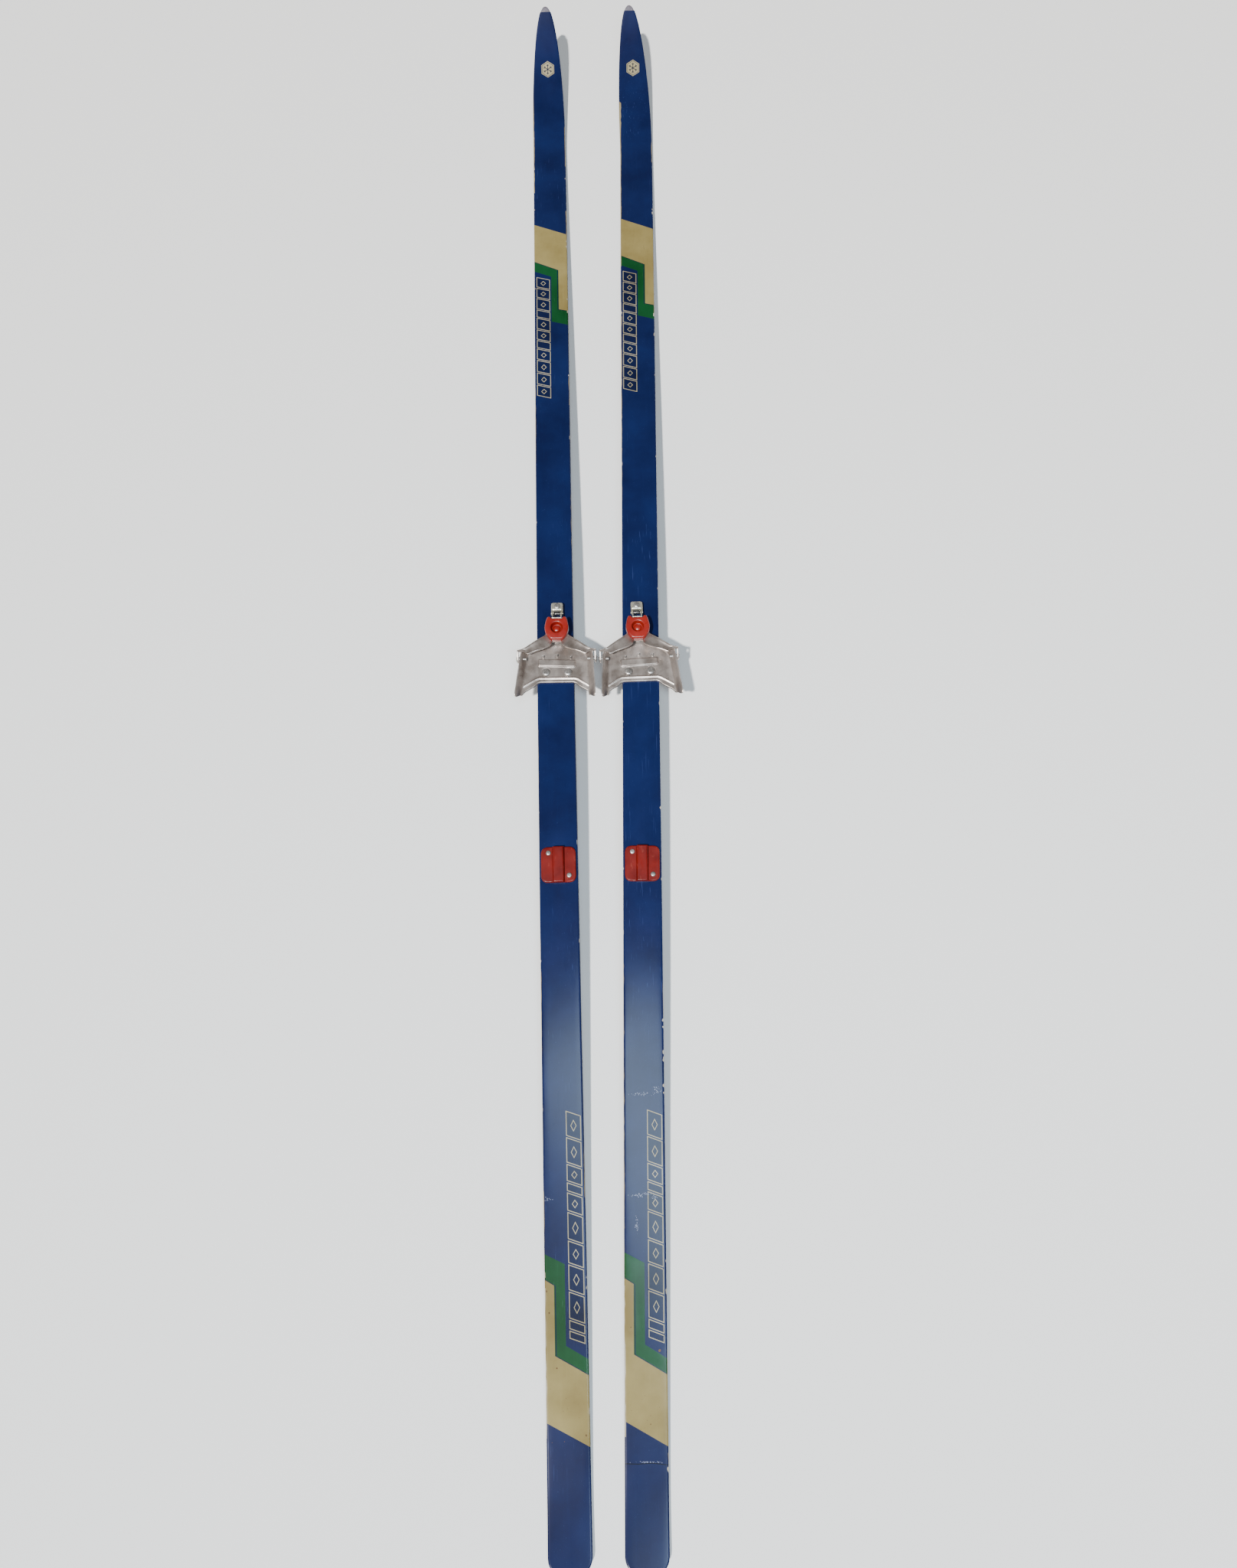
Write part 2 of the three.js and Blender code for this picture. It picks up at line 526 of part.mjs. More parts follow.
// ---- the heel plate ----------------------------------------------------------------------------------------
function heelPlate() {
  const outline = roundedRectangle(HEEL.width, HEEL.length, HEEL.corner);
  const plate = slab(outline, GAP, HEEL.sheet, 0.6);
  const half = HEEL.ridge / 2;
  const crown = [[-half, 1], [half, 1], [half, HEEL.ridgeTop - 2], [half - 1.6, HEEL.ridgeTop], [1.6 - half, HEEL.ridgeTop]];
  crown.push([-half, HEEL.ridgeTop - 2]);
  const ridge = new THREE.ExtrudeGeometry(shapeOf(crown), { depth: HEEL.length - 0.6, bevelEnabled: false })
    .rotateX(Math.PI / 2).translate(0, HEEL.length / 2 - 0.3, 0);
  const holes = HEEL_SCREWS.map(([x, y]) => rod(HEEL_SCREW.shank + GAP, -1, 12, x, y, 8));
  return cut(join(plate, common(ridge, slab(outline, 0, 20))), ...holes);
}

// ---- assembly --------------------------------------------------------------------------------------------------
function mirroredX(geometry) {
  const merged = bare(geometry);
  return flipped(merged.scale(-1, 1, 1));
}

function bindingPieces(side) {
  const [outward, inward] = side > 0 ? ['right', 'left'] : ['left', 'right'];
  const pins = pinPlaces().map(([x, y]) => pin().translate(x, y, 0));
  const [inPlate, outPlate, front] = PLATE_SCREWS.map(([x, y]) => screw(SCREW, SEAT + GAP).translate(x, y, 0));
  const pieces = {
    toe_plate: [toePlate(), looks.alloy],
    [`pin_${inward}`]: [pins[0], looks.steel],
    pin_centre: [pins[1], looks.steel],
    [`pin_${outward}`]: [pins[2], looks.steel],
    [`plate_screw_${inward}`]: [inPlate, looks.steel],
    [`plate_screw_${outward}`]: [outPlate, looks.steel],
    plate_screw_front: [front, looks.steel],
    [`pivot_rivet_${inward}`]: [pivotRivet(-1), looks.steel],
    [`pivot_rivet_${outward}`]: [pivotRivet(1), looks.steel],
    bail: [bail(), looks.alloy],
    pole_cup: [poleCup(), looks.red],
    cup_rivet: [cupRivet(), looks.red],
    latch_stirrup: [latchStirrup(), looks.chrome],
    latch_head: [latchHead(), looks.chrome],
    latch_pin: [crossRod(LATCH_PIN.radius, -8, 8, LATCH_PIN.y, LATCH_PIN.z), looks.steel],
    latch_spring: [latchSpring(), looks.steel],
    latch_screw: [screw(SCREW, HEAD.height + GAP).scale(0.8, 0.8, 1).translate(0, LATCH_SCREW_Y, 0), looks.steel],
  };
  const placed = ([geometry, look]) => [side > 0 ? geometry : mirroredX(geometry), look];
  return Object.fromEntries(Object.entries(pieces).map(([name, piece]) => [name, placed(piece)]));
}

function heelPieces() {
  const [front, rear] = HEEL_SCREWS.map(([x, y]) => screw(HEEL_SCREW, HEEL.sheet + GAP).translate(x, y, 0));
  return {
    heel_plate: [heelPlate(), looks.red],
    heel_screw_front: [front, looks.steel],
    heel_screw_rear: [rear, looks.steel],
  };
}

// A group that stands on the ski's top surface at y, tipped to the surface's slope there.
function onTop(y, turn) {
  const group = new THREE.Group();
  const reach = 40;
  const slope = Math.atan2(top(y + reach) - top(y - reach), 2 * reach);
  group.position.set(0, y, Math.max(top(y), (top(y + reach) + top(y - reach)) / 2));
  group.rotation.set(slope, 0, radians(turn), 'ZXY');
  return group;
}

function addPieces(group, prefix, pieces) {
  Object.entries(pieces).forEach(([name, [geometry, look]]) => {
    const body = bare(geometry);
    body.computeVertexNormals();
    const mesh = new THREE.Mesh(body, look);
    mesh.name = `${prefix}_${name}`;
    group.add(mesh);
  });
}

// Clearance holes for every screw, cut down through the layers under a group.
function screwHoles(group, places, radius, depth) {
  group.updateMatrix();
  return places.map(([x, y]) => rod(radius + GAP, -depth - 1, 6, x, y, 8).applyMatrix4(group.matrix));
}

function ski(prefix, side) {
  const group = new THREE.Group();
  const binding = onTop(0, BINDING_TURN[prefix]);
  binding.position.x = -side * BINDING_INWARD;
  const heel = onTop(HEEL.y, 0);
  const latchScrew = [[0, LATCH_SCREW_Y]];
  const mirroredPlaces = PLATE_SCREWS.map(([x, y]) => [side * x, y]);
  const holes = [
    ...screwHoles(binding, mirroredPlaces, SCREW.shank, SCREW.length),
    ...screwHoles(binding, latchScrew, SCREW.shank * 0.8, SCREW.length - HEAD.height),
    ...screwHoles(heel, HEEL_SCREWS, HEEL_SCREW.shank, HEEL_SCREW.length),
  ];
  addPieces(group, prefix, skiPieces(TIP_SWEEP[prefix], holes));
  addPieces(binding, prefix, bindingPieces(side));
  addPieces(heel, prefix, heelPieces());
  group.add(binding, heel);
  group.position.x = (side * SKI_SPACING) / 2;
  group.rotation.z = radians(-side * SPLAY);
  return group;
}

const pair = new THREE.Group();
pair.add(ski('left', -1), ski('right', 1));

// The pair is centred over the origin and stands on z = 0.
pair.updateMatrixWorld(true);
const box = new THREE.Box3().setFromObject(pair, true);
pair.position.set(-(box.min.x + box.max.x) / 2, -(box.min.y + box.max.y) / 2, -box.min.z);

export default pair;
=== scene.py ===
import json
import math
import random

import bmesh
import bpy
from mathutils import Matrix, Vector
from mathutils.geometry import delaunay_2d_cdt


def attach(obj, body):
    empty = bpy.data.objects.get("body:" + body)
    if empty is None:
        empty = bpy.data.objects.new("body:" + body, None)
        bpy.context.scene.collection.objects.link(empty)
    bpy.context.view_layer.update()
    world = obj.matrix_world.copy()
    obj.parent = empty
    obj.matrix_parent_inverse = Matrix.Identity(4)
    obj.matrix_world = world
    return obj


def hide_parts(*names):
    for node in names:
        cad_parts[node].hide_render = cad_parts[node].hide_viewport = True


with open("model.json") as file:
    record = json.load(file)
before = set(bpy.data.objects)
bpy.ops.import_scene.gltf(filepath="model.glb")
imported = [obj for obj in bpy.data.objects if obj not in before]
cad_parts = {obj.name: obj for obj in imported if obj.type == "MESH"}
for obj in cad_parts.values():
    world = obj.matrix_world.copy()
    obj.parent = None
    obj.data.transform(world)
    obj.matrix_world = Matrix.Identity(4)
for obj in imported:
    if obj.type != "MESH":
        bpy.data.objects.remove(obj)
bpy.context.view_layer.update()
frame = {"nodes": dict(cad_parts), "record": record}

# The looks of a pair of cross country skis. Lengths are millimetres, in the ski's own frame: X across,
# Y forward from the pin line, Z up from the floor. The binding's own frame has Z = 0 on the ski's top.
MM = 0.001
SIDES = {"left": -1, "right": 1}
RECORD = frame["record"]

# ---- sizes, as in the CAD ------------------------------------------------------------------------
TIP = 1048
TAIL = -1007
FRONT_CONTACT = 835
REAR_CONTACT = -930
CAMBER = 26
TIP_RISE = 72
TAIL_RISE = 3
SHOVEL_WIDTH = 47.4
WAIST_WIDTH = 45.6
TAIL_WIDTH = 46.2
TIP_TAPER = 170
TAIL_CORNER = 16
TIP_SWEEP = {"left": 0, "right": -10}
THICKNESS = [
    (TAIL, 7.8), (REAR_CONTACT, 8.6), (-600, 13.5), (-330, 19), (-120, 23),
    (110, 23), (400, 16.5), (700, 10.6), (FRONT_CONTACT, 8.6), (TIP, 6.2),
]
THICKNESS_BLEND = 55
SOLE = 1.4
TOP_SHEET = 1.4
SIDEWALL = 2.2
GAP = 0.3            # left by the CAD between pieces
CAP_LENGTH = 7
TIP_SPACER = 18
TAIL_SPACER = 12

SEAT = 2.5           # top of the toe plate's floor
RIB = 3.7            # top of its raised rib, where the boot's sole lies
RIB_Y = -7.6
SEAT_MOUNT = (2, -8.2, RIB)
EAR_TOP = 13.8
EAR_LEAN = 5.5
EAR_SHEET = 1.8
EAR_REAR = -56
EAR_SLANT = 6        # how much shorter an ear is along its foot than along its lip
EAR_SLANT_FROM = -42
BINDING_INWARD = 2.2
EAR_BASE_FRONT = 38.3
EAR_BASE_REAR = {1: 45.5, -1: 41.5}
PLATE_SKEW = math.radians(2.2)
PINS = [(-17, 0), (0, 1.7), (17, 0)]
PIN_RADIUS = 1.3
PIN_TOP = 8
PLATE_SCREWS = [(-13.6, -20), (13.6, -20), (0, 25)]
PIVOT_Y, PIVOT_Z, PIVOT_RADIUS = -4, 8, 2
LUG_INNER, LUG_SHEET, LUG_RADIUS = 47.1, 1.8, 5.2
BAIL_SEAT = 14.8
BAIL_SHEET = 2
KNOB_FRONT, KNOB_REAR, KNOB_BASE, KNOB_TOP = 49.4, 18.4, 9.8, 18.6
CUP_Y, CUP_RADIUS, CUP_DEPTH = 34.5, 7.8, 6.4
CROSSBAR_Y, CROSSBAR_Z, CROSSBAR_RADIUS = 48.3, 16, 0.9
LATCH_Y, LATCH_Z = 59.5, 4.5
HEAD_REAR, HEAD_FRONT, HEAD_WIDTH, HEAD_TOP = 62.5, 74, 15, 8.2
LATCH_SCREW_Y = 68
HEEL_WIDTH, HEEL_LENGTH, HEEL_CORNER = 41.4, 43, 7
HEEL_SHEET, HEEL_TOP = 3.2, 7.2
HEEL_MOUNT = (0, 2, HEEL_TOP)
HEEL_SCREWS = [(-11.8, 14), (12.6, -13.3)]

# Screws: radius and rise of the head, radius of the shank, length.
PLATE_SCREW = (5, 2.4, 2.1, 13)
LATCH_SCREW = (4, 2.2, 1.68, 13)
HEEL_SCREW = (2.9, 1.4, 1.7, 12)


def smooth(t):
    t = min(max(t, 0.0), 1.0)
    return t * t * (3 - 2 * t)


def table(rows, y):
    if y <= rows[0][0]:
        return rows[0][1]
    for (y0, v0), (y1, v1) in zip(rows, rows[1:]):
        if y <= y1:
            return v0 + (v1 - v0) * (y - y0) / (y1 - y0)
    return rows[-1][1]


def thickness(y):
    steps = (-1, -0.5, 0, 0.5, 1)
    return sum(table(THICKNESS, y + step * THICKNESS_BLEND) for step in steps) / len(steps)


def bottom(y):
    along = min(max((y - REAR_CONTACT) / (FRONT_CONTACT - REAR_CONTACT), 0), 1)
    arch = CAMBER * math.sin(math.pi * along) ** 1.3
    tip = TIP_RISE * (max(0, y - FRONT_CONTACT) / (TIP - FRONT_CONTACT)) ** 2
    tail = TAIL_RISE * (max(0, REAR_CONTACT - y) / (REAR_CONTACT - TAIL)) ** 2
    return arch + tip + tail


def half_width(y):
    forward = (SHOVEL_WIDTH - WAIST_WIDTH) * smooth(y / FRONT_CONTACT)
    backward = (TAIL_WIDTH - WAIST_WIDTH) * smooth(y / REAR_CONTACT)
    side = (WAIST_WIDTH + forward + backward) / 2
    if y > TIP - TIP_TAPER:
        opening = 1 - (1 - (TIP - y) / TIP_TAPER) ** 2
        return max(side * opening ** 0.44, 1.6)
    corner = max(0, TAIL + TAIL_CORNER - y)
    return side - TAIL_CORNER + math.sqrt(max(TAIL_CORNER ** 2 - corner ** 2, 0))


def sweep(y, side):
    return TIP_SWEEP[side] * (max(0, y - FRONT_CONTACT) / (TIP - FRONT_CONTACT)) ** 1.6


# ---- where each ski, binding and heel plate stands, from the frame -------------------------------
def mount(name):
    found = next(m for m in RECORD["mounts"] if m["name"] == name)
    return Vector(found["pos_m"]) / MM, Vector(found["axis"]).normalized()


def standing(point, local, across, up):
    """The frame with that X and Z in which the record's point has the given local position."""
    forward = up.cross(across).normalized()
    turn = Matrix((across, forward, up)).transposed()
    return Matrix.Translation(point - turn @ Vector(local)) @ turn.to_4x4()


def frames(side):
    hinge = next(j for j in RECORD["behaviour"]["joints"] if j["name"] == f"{side}_bail_hinge")
    seat, up = mount(f"{side}_boot_seat")
    binding = standing(seat, SEAT_MOUNT, Vector(hinge["axis"]).normalized(), up)
    rest, up = mount(f"{side}_heel_rest")
    ahead = (binding.translation - rest).xy
    inward = SIDES[side] * BINDING_INWARD
    turn = Matrix.Rotation(math.atan2(-ahead.x, ahead.y) - math.asin(inward / ahead.length), 4, "Z")
    ski = Matrix.Translation((*binding.translation.xy, 0)) @ turn @ Matrix.Translation((inward, 0, 0))
    heel = standing(rest, HEEL_MOUNT, ski.to_3x3() @ Vector((1, 0, 0)), up)
    return ski, binding, heel


# ---- materials -----------------------------------------------------------------------------------
def srgb(code):
    parts = [int(code[i:i + 2], 16) / 255 for i in (0, 2, 4)]
    return [c / 12.92 if c < 0.04045 else ((c + 0.055) / 1.055) ** 2.4 for c in parts] + [1.0]


class Paint:
    """A Principled material, and the few kinds of node that its patterns are made of."""

    def __init__(self, name, **sockets):
        self.material = bpy.data.materials.new(name)
        self.material.use_nodes = True
        self.tree = self.material.node_tree
        self.shader = self.tree.nodes["Principled BSDF"]
        for socket, value in sockets.items():
            self.shader.inputs[socket.replace("_", " ")].default_value = value
        self.place = self.tree.nodes.new("ShaderNodeTexCoord").outputs["Object"]

    def node(self, kind, inputs, **settings):
        made = self.tree.nodes.new(kind)
        for key, value in settings.items():
            setattr(made, key, value)
        for socket, value in inputs.items():
            if isinstance(value, bpy.types.NodeSocket):
                self.tree.links.new(value, made.inputs[socket])
            else:
                made.inputs[socket].default_value = value
        return made

    def where(self, stretch):
        if not stretch:
            return self.place
        return self.node("ShaderNodeMapping", {"Vector": self.place, "Scale": stretch}).outputs["Vector"]

    def noise(self, scale, detail, rough=0.55, stretch=None, warp=0.0):
        inputs = {"Vector": self.where(stretch), "Scale": scale, "Detail": detail}
        inputs |= {"Roughness": rough, "Distortion": warp}
        return self.node("ShaderNodeTexNoise", inputs).outputs["Fac"]

    def ramp(self, source, low, high, start=0.0, end=1.0):
        inputs = {"Value": source, "From Min": low, "From Max": high, "To Min": start, "To Max": end}
        return self.node("ShaderNodeMapRange", inputs).outputs["Result"]

    def product(self, a, b):
        return self.node("ShaderNodeMath", {0: a, 1: b}, operation="MULTIPLY").outputs[0]

    def mix(self, factor, a, b):
        made = self.node("ShaderNodeMix", {0: factor, 6: a, 7: b}, data_type="RGBA")
        return made.outputs[2]

    def colour(self, source):
        self.tree.links.new(source, self.shader.inputs["Base Color"])

    def roughness(self, source):
        self.tree.links.new(source, self.shader.inputs["Roughness"])

    def bump(self, source, strength, distance):
        inputs = {"Height": source, "Strength": strength, "Distance": distance}
        socket = self.shader.inputs["Normal"]
        if socket.links:
            inputs["Normal"] = socket.links[0].from_socket
        self.tree.links.new(self.node("ShaderNodeBump", inputs).outputs["Normal"], socket)


EVEN = (1.0, 1.0, 1.0)
LENGTHWISE = (1.0, 0.035, 1.0)
HAIRLINE = (1.0, 0.012, 1.0)


def printed(name, deep, pale, worn, gloss=0.3):
    """Lacquered print: mottled colour, lengthwise streaks, patches of hairline scratches, uneven gloss."""
    paint = Paint(name, Coat_Weight=0.4, Coat_Roughness=0.18, Specular_IOR_Level=0.03)
    mottled = paint.mix(paint.ramp(paint.noise(16, 5), 0.34, 0.68), srgb(deep), srgb(pale))
    streaks = paint.ramp(paint.noise(230, 3, 0.6, LENGTHWISE), 0.56, 0.82, 0, 0.4)
    streaked = paint.mix(streaks, mottled, srgb(pale))
    hairlines = paint.ramp(paint.noise(900, 2, 0.5, HAIRLINE), 0.66, 0.72, 0, 0.25)
    patches = paint.ramp(paint.noise(9, 2), 0.5, 0.62)
    scratched = paint.mix(paint.product(hairlines, patches), streaked, srgb(worn))
    dust = paint.ramp(paint.noise(640, 3, 0.7), 0.66, 0.76, 0, 0.3)
    paint.colour(paint.mix(dust, scratched, srgb(worn)))
    polish = paint.noise(45, 4, 0.6, (1.0, 0.3, 1.0))
    paint.roughness(paint.ramp(polish, 0.3, 0.75, gloss - 0.05, gloss + 0.16))
    paint.bump(paint.noise(700, 2, 0.5, LENGTHWISE), 0.12, 0.0002)
    paint.bump(paint.noise(60, 3), 0.08, 0.0006)
    return paint.material


def plain(name, dark, pale, worn, rough, grain, scale, marks=(0.58, 0.74), grit=0.25, **sockets):
    """A moulded, sawn or cast surface: two tones, rubbed marks and a fine grain in its relief."""
    paint = Paint(name, **sockets)
    tone = paint.mix(paint.ramp(paint.noise(scale * 0.4, 5), 0.32, 0.68), srgb(dark), srgb(pale))
    rubbed = paint.ramp(paint.noise(scale * 2.4, 4, 0.65, grain), *marks, 0, 0.6)
    paint.colour(paint.mix(rubbed, tone, srgb(worn)))
    paint.roughness(paint.ramp(paint.noise(scale, 4, 0.6, grain), 0.3, 0.7, rough - 0.07, rough + 0.12))
    paint.bump(paint.noise(scale * 7, 3, 0.6, grain), grit, 0.00015)
    paint.bump(paint.noise(scale * 0.8, 3), grit * 0.5, 0.0005)
    return paint.material


def metal(name, dark, pale, tarnish, rough, dirt, bare, grain=EVEN):
    """A metal with uneven polish, fine working marks and tarnish in patches and specks."""
    paint = Paint(name, Metallic=bare)
    clean = paint.mix(paint.ramp(paint.noise(70, 5), 0.32, 0.68), srgb(dark), srgb(pale))
    patches = paint.ramp(paint.noise(48, 6, 0.62, None, 0.6), 0.47, 0.66, 0, dirt)
    specks = paint.ramp(paint.noise(330, 4, 0.6), 0.6, 0.72, 0, dirt)
    paint.colour(paint.mix(specks, paint.mix(patches, clean, srgb(tarnish)), srgb(tarnish)))
    paint.roughness(paint.ramp(paint.noise(110, 5, 0.6, grain), 0.3, 0.7, rough - 0.07, rough + 0.13))
    paint.bump(paint.noise(900, 3, 0.6, grain), 0.22, 0.00015)
    paint.bump(paint.noise(90, 4), 0.12, 0.0005)
    return paint.material


LOOKS = {
    "navy": printed("navy_lacquer", "0f173d", "15214d", "4a5f9a"),
    "ink": printed("dark_ink", "0c132e", "131d42", "47587f"),
    "cream": printed("cream_print", "7e6e40", "998a58", "564a30", 0.36),
    "green": printed("green_print", "0c3d1c", "154d29", "447558"),
    "line": printed("pale_print", "968b68", "b5ad90", "635f4f", 0.38),
    "chip": printed("bare_chip", "a59a82", "c4bdb0", "807558", 0.5),
    "scuff": printed("scuffed_print", "6d7590", "8f96ad", "585e78", 0.45),
    "worn": printed("worn_edge", "7e6f4e", "a1926c", "504531", 0.5),
    "grime": printed("grime", "543d26", "6d5033", "332618", 0.5),
    "crack": printed("crack", "080c18", "0d1424", "27304a", 0.5),
    "base": plain("running_base", "131416", "1e2023", "4c4d50", 0.5, LENGTHWISE, 90),
    "edge": plain("edge_plastic", "0b152b", "141f3e", "434a5d", 0.5, LENGTHWISE, 90,
                  Specular_IOR_Level=0.12),
    "wood": plain("wood_core", "8c6135", "b58b59", "623d1f", 0.62, LENGTHWISE, 90, (0.5, 0.66)),
    "laminate": plain("glass_laminate", "989270", "b4b194", "807c60", 0.42, (1.0, 0.1, 1.0), 120),
    "nose": plain("nose_plastic", "504c5b", "76707a", "9a9494", 0.55, EVEN, 150, (0.54, 0.68), 0.4),
    "red": plain("red_plastic", "610c09", "7c1710", "8f3f33", 0.38, (1.0, 0.4, 1.0), 110, (0.6, 0.76), 0.18,
                 Coat_Weight=0.15, Coat_Roughness=0.2, Specular_IOR_Level=0.2),
    "knob": plain("knob_plastic", "84150f", "9b251b", "a94c3d", 0.32, EVEN, 110, (0.6, 0.76), 0.15,
                  Coat_Weight=0.3, Coat_Roughness=0.2),
    "alloy": metal("tarnished_alloy", "a1968f", "cbc1ba", "75655a", 0.34, 0.5, 0.75, (1.0, 0.15, 1.0)),
    "steel": metal("zinc_steel", "989490", "c0bcb8", "6b6058", 0.32, 0.35, 0.75),
    # Near-black spring steel: painted shade of the latch's window, where the spring sits.
    "spring": metal("spring_steel", "16181f", "2c2f36", "1a1613", 0.45, 0.3, 0.8),
    "chrome": metal("bright_plate", "d2ccb6", "eeeada", "968a66", 0.2, 0.3, 0.75),
}
PRINTS = ["navy", "ink", "cream", "green", "line", "chip", "scuff", "worn", "grime", "crack"]


# ---- meshes --------------------------------------------------------------------------------------
CREASE = math.radians(38)


def piece(name, place, parts, looks, body):
    """One object for the CAD node of that name, from parts given in millimetres in the frame place.

    Each part is (points, faces), or (points, faces, look of each face).
    """
    work = bmesh.new()
    keys = [looks] if isinstance(looks, str) else looks
    for points, faces, *marks in parts:
        verts = [work.verts.new((place @ Vector(p)) * MM) for p in points]
        for i, corners in enumerate(faces):
            face = work.faces.new([verts[k] for k in corners])
            face.material_index = keys.index(marks[0][i]) if marks else 0
    bmesh.ops.recalc_face_normals(work, faces=work.faces)
    for face in work.faces:
        face.smooth = True
    for edge in work.edges:
        edge.smooth = not (len(edge.link_faces) == 2 and edge.calc_face_angle(0) > CREASE)
    mesh = bpy.data.meshes.new(name)
    work.to_mesh(mesh)
    work.free()
    for key in keys:
        mesh.materials.append(LOOKS[key])
    made = bpy.data.objects.new(f"{name}_look", mesh)
    bpy.context.collection.objects.link(made)
    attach(made, body)
    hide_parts(name)


def loft(rings):
    """Quads through a row of closed rings, with the end rings filled."""
    count, last = len(rings[0]), len(rings) - 1
    points = [p for ring in rings for p in ring]
    faces = []
    for i in range(last):
        a, b = i * count, (i + 1) * count
        faces += [(a + k, a + (k + 1) % count, b + (k + 1) % count, b + k) for k in range(count)]
    faces += [tuple(range(count)), tuple(last * count + k for k in reversed(range(count)))]
    return points, faces


def lathe(profile, sides):
    """A turned shape from (radius, height) rows, bottom to top, about Z."""
    angles = [2 * math.pi * k / sides for k in range(sides)]
    return loft([[(r * math.cos(a), r * math.sin(a), z) for a in angles] for r, z in profile])


def moved(part, matrix):
    points, faces, *marks = part
    return ([tuple(matrix @ Vector(p)) for p in points], faces, *marks)


def at(x, y, z):
    return Matrix.Translation((x, y, z))


def upright(part, x):
    """A tablet drawn in Y and Z, moved so that its low side is at x."""
    return moved(part, Matrix(((0, 0, 1, x), (1, 0, 0, 0), (0, 1, 0, 0), (0, 0, 0, 1))))


def arc(cx, cy, radius, start, end, steps):
    angles = [math.radians(start + (end - start) * i / steps) for i in range(steps + 1)]
    return [(cx + radius * math.cos(a), cy + radius * math.sin(a)) for a in angles]


def circle(cx, cy, radius, sides):
    return arc(cx, cy, radius, 0, 360 - 360 / sides, sides - 1)


def between(t, p, q, r, s):
    """The value at t, from 0 at q to 1 at r, of a Catmull-Rom spline through p, q, r and s."""
    square, cube = 2 * p - 5 * q + 4 * r - s, 3 * q - p - 3 * r + s
    return 0.5 * (2 * q + (r - p) * t + square * t * t + cube * t ** 3)


def curve(rows, steps):
    """A smooth run through rows of numbers, with steps points for each span."""
    rows = [rows[0], *rows, rows[-1]]
    out = []
    for spans in zip(rows, rows[1:], rows[2:], rows[3:]):
        out += [[between(i / steps, *four) for four in zip(*spans)] for i in range(steps)]
    return [*out, list(rows[-1])]


def rounded(points, radius, steps):
    """A closed outline with its corners rounded: radius is one number, or one for each corner."""
    radii = radius if isinstance(radius, list) else [radius] * len(points)
    parts = [i / steps for i in range(steps + 1)]
    out = []
    for before, here, after, size in zip(points[-1:] + points[:-1], points, points[1:] + points[:1], radii):
        p, q, r = Vector(before), Vector(here), Vector(after)
        reach = min(size, (p - q).length * 0.48, (r - q).length * 0.48)
        a, b = q + (p - q).normalized() * reach, q + (r - q).normalized() * reach
        out += [tuple(a * (1 - t) ** 2 + q * 2 * t * (1 - t) + b * t ** 2) for t in parts]
    return out


def box_outline(width, length, cx=0, cy=0):
    w, h = width / 2, length / 2
    return [(cx - w, cy - h), (cx + w, cy - h), (cx + w, cy + h), (cx - w, cy + h)]


def anticlockwise(polygon):
    return sum(p[0] * q[1] - q[0] * p[1] for p, q in zip(polygon, polygon[1:] + polygon[:1])) > 0


def inset(polygon, width):
    """A polygon drawn in by width, each corner along the bisector of its sides."""
    sign = 1 if anticlockwise(polygon) else -1
    out = []
    for before, here, after in zip(polygon[-1:] + polygon[:-1], polygon, polygon[1:] + polygon[:1]):
        a, b = (Vector(here) - Vector(before)).normalized(), (Vector(after) - Vector(here)).normalized()
        n, m = Vector((-a.y, a.x)) * sign, Vector((-b.y, b.x)) * sign
        both = n + m
        out.append(tuple(Vector(here) + both * (width / max(both.dot(n), 0.3))))
    return out


def distance(point, polygon):
    """From a point to the nearest side of a polygon."""
    best = 1e9
    x, y = point
    for (x0, y0), (x1, y1) in zip(polygon, polygon[1:] + polygon[:1]):
        dx, dy = x1 - x0, y1 - y0
        t = min(max(((x - x0) * dx + (y - y0) * dy) / max(dx * dx + dy * dy, 1e-12), 0), 1)
        best = min(best, (x0 + dx * t - x) ** 2 + (y0 + dy * t - y) ** 2)
    return math.sqrt(best)


def inside(point, polygon):
    x, y = point
    hit = False
    for (x0, y0), (x1, y1) in zip(polygon, polygon[1:] + polygon[:1]):
        if (y0 > y) != (y1 > y) and x < (x1 - x0) * (y - y0) / (y1 - y0) + x0:
            hit = not hit
    return hit


def triangles(outline, polygons, lines, scattered):
    """Triangles that fill an outline and follow the sides of every polygon and line.

    Gives the points, the faces, and for each face the numbers of the polygons that it lies in.
    """
    points, edges, loops = [], [], []
    for polygon in [outline, *polygons]:
        loop = list(range(len(points), len(points) + len(polygon)))
        loops.append(loop if anticlockwise(polygon) else loop[::-1])
        points += polygon
    for line in lines:
        edges += [(k, k + 1) for k in range(len(points), len(points) + len(line) - 1)]
        points += line
    points += scattered
    flat = [Vector((p[0], p[1])) for p in points]
    verts, _, faces, _, _, origins = delaunay_2d_cdt(flat, edges, loops, 0, 1e-4)
    kept = [(face, [k - 1 for k in owners if k > 0]) for face, owners in zip(faces, origins) if 0 in owners]
    return [tuple(v) for v in verts], [face for face, _ in kept], [owners for _, owners in kept]


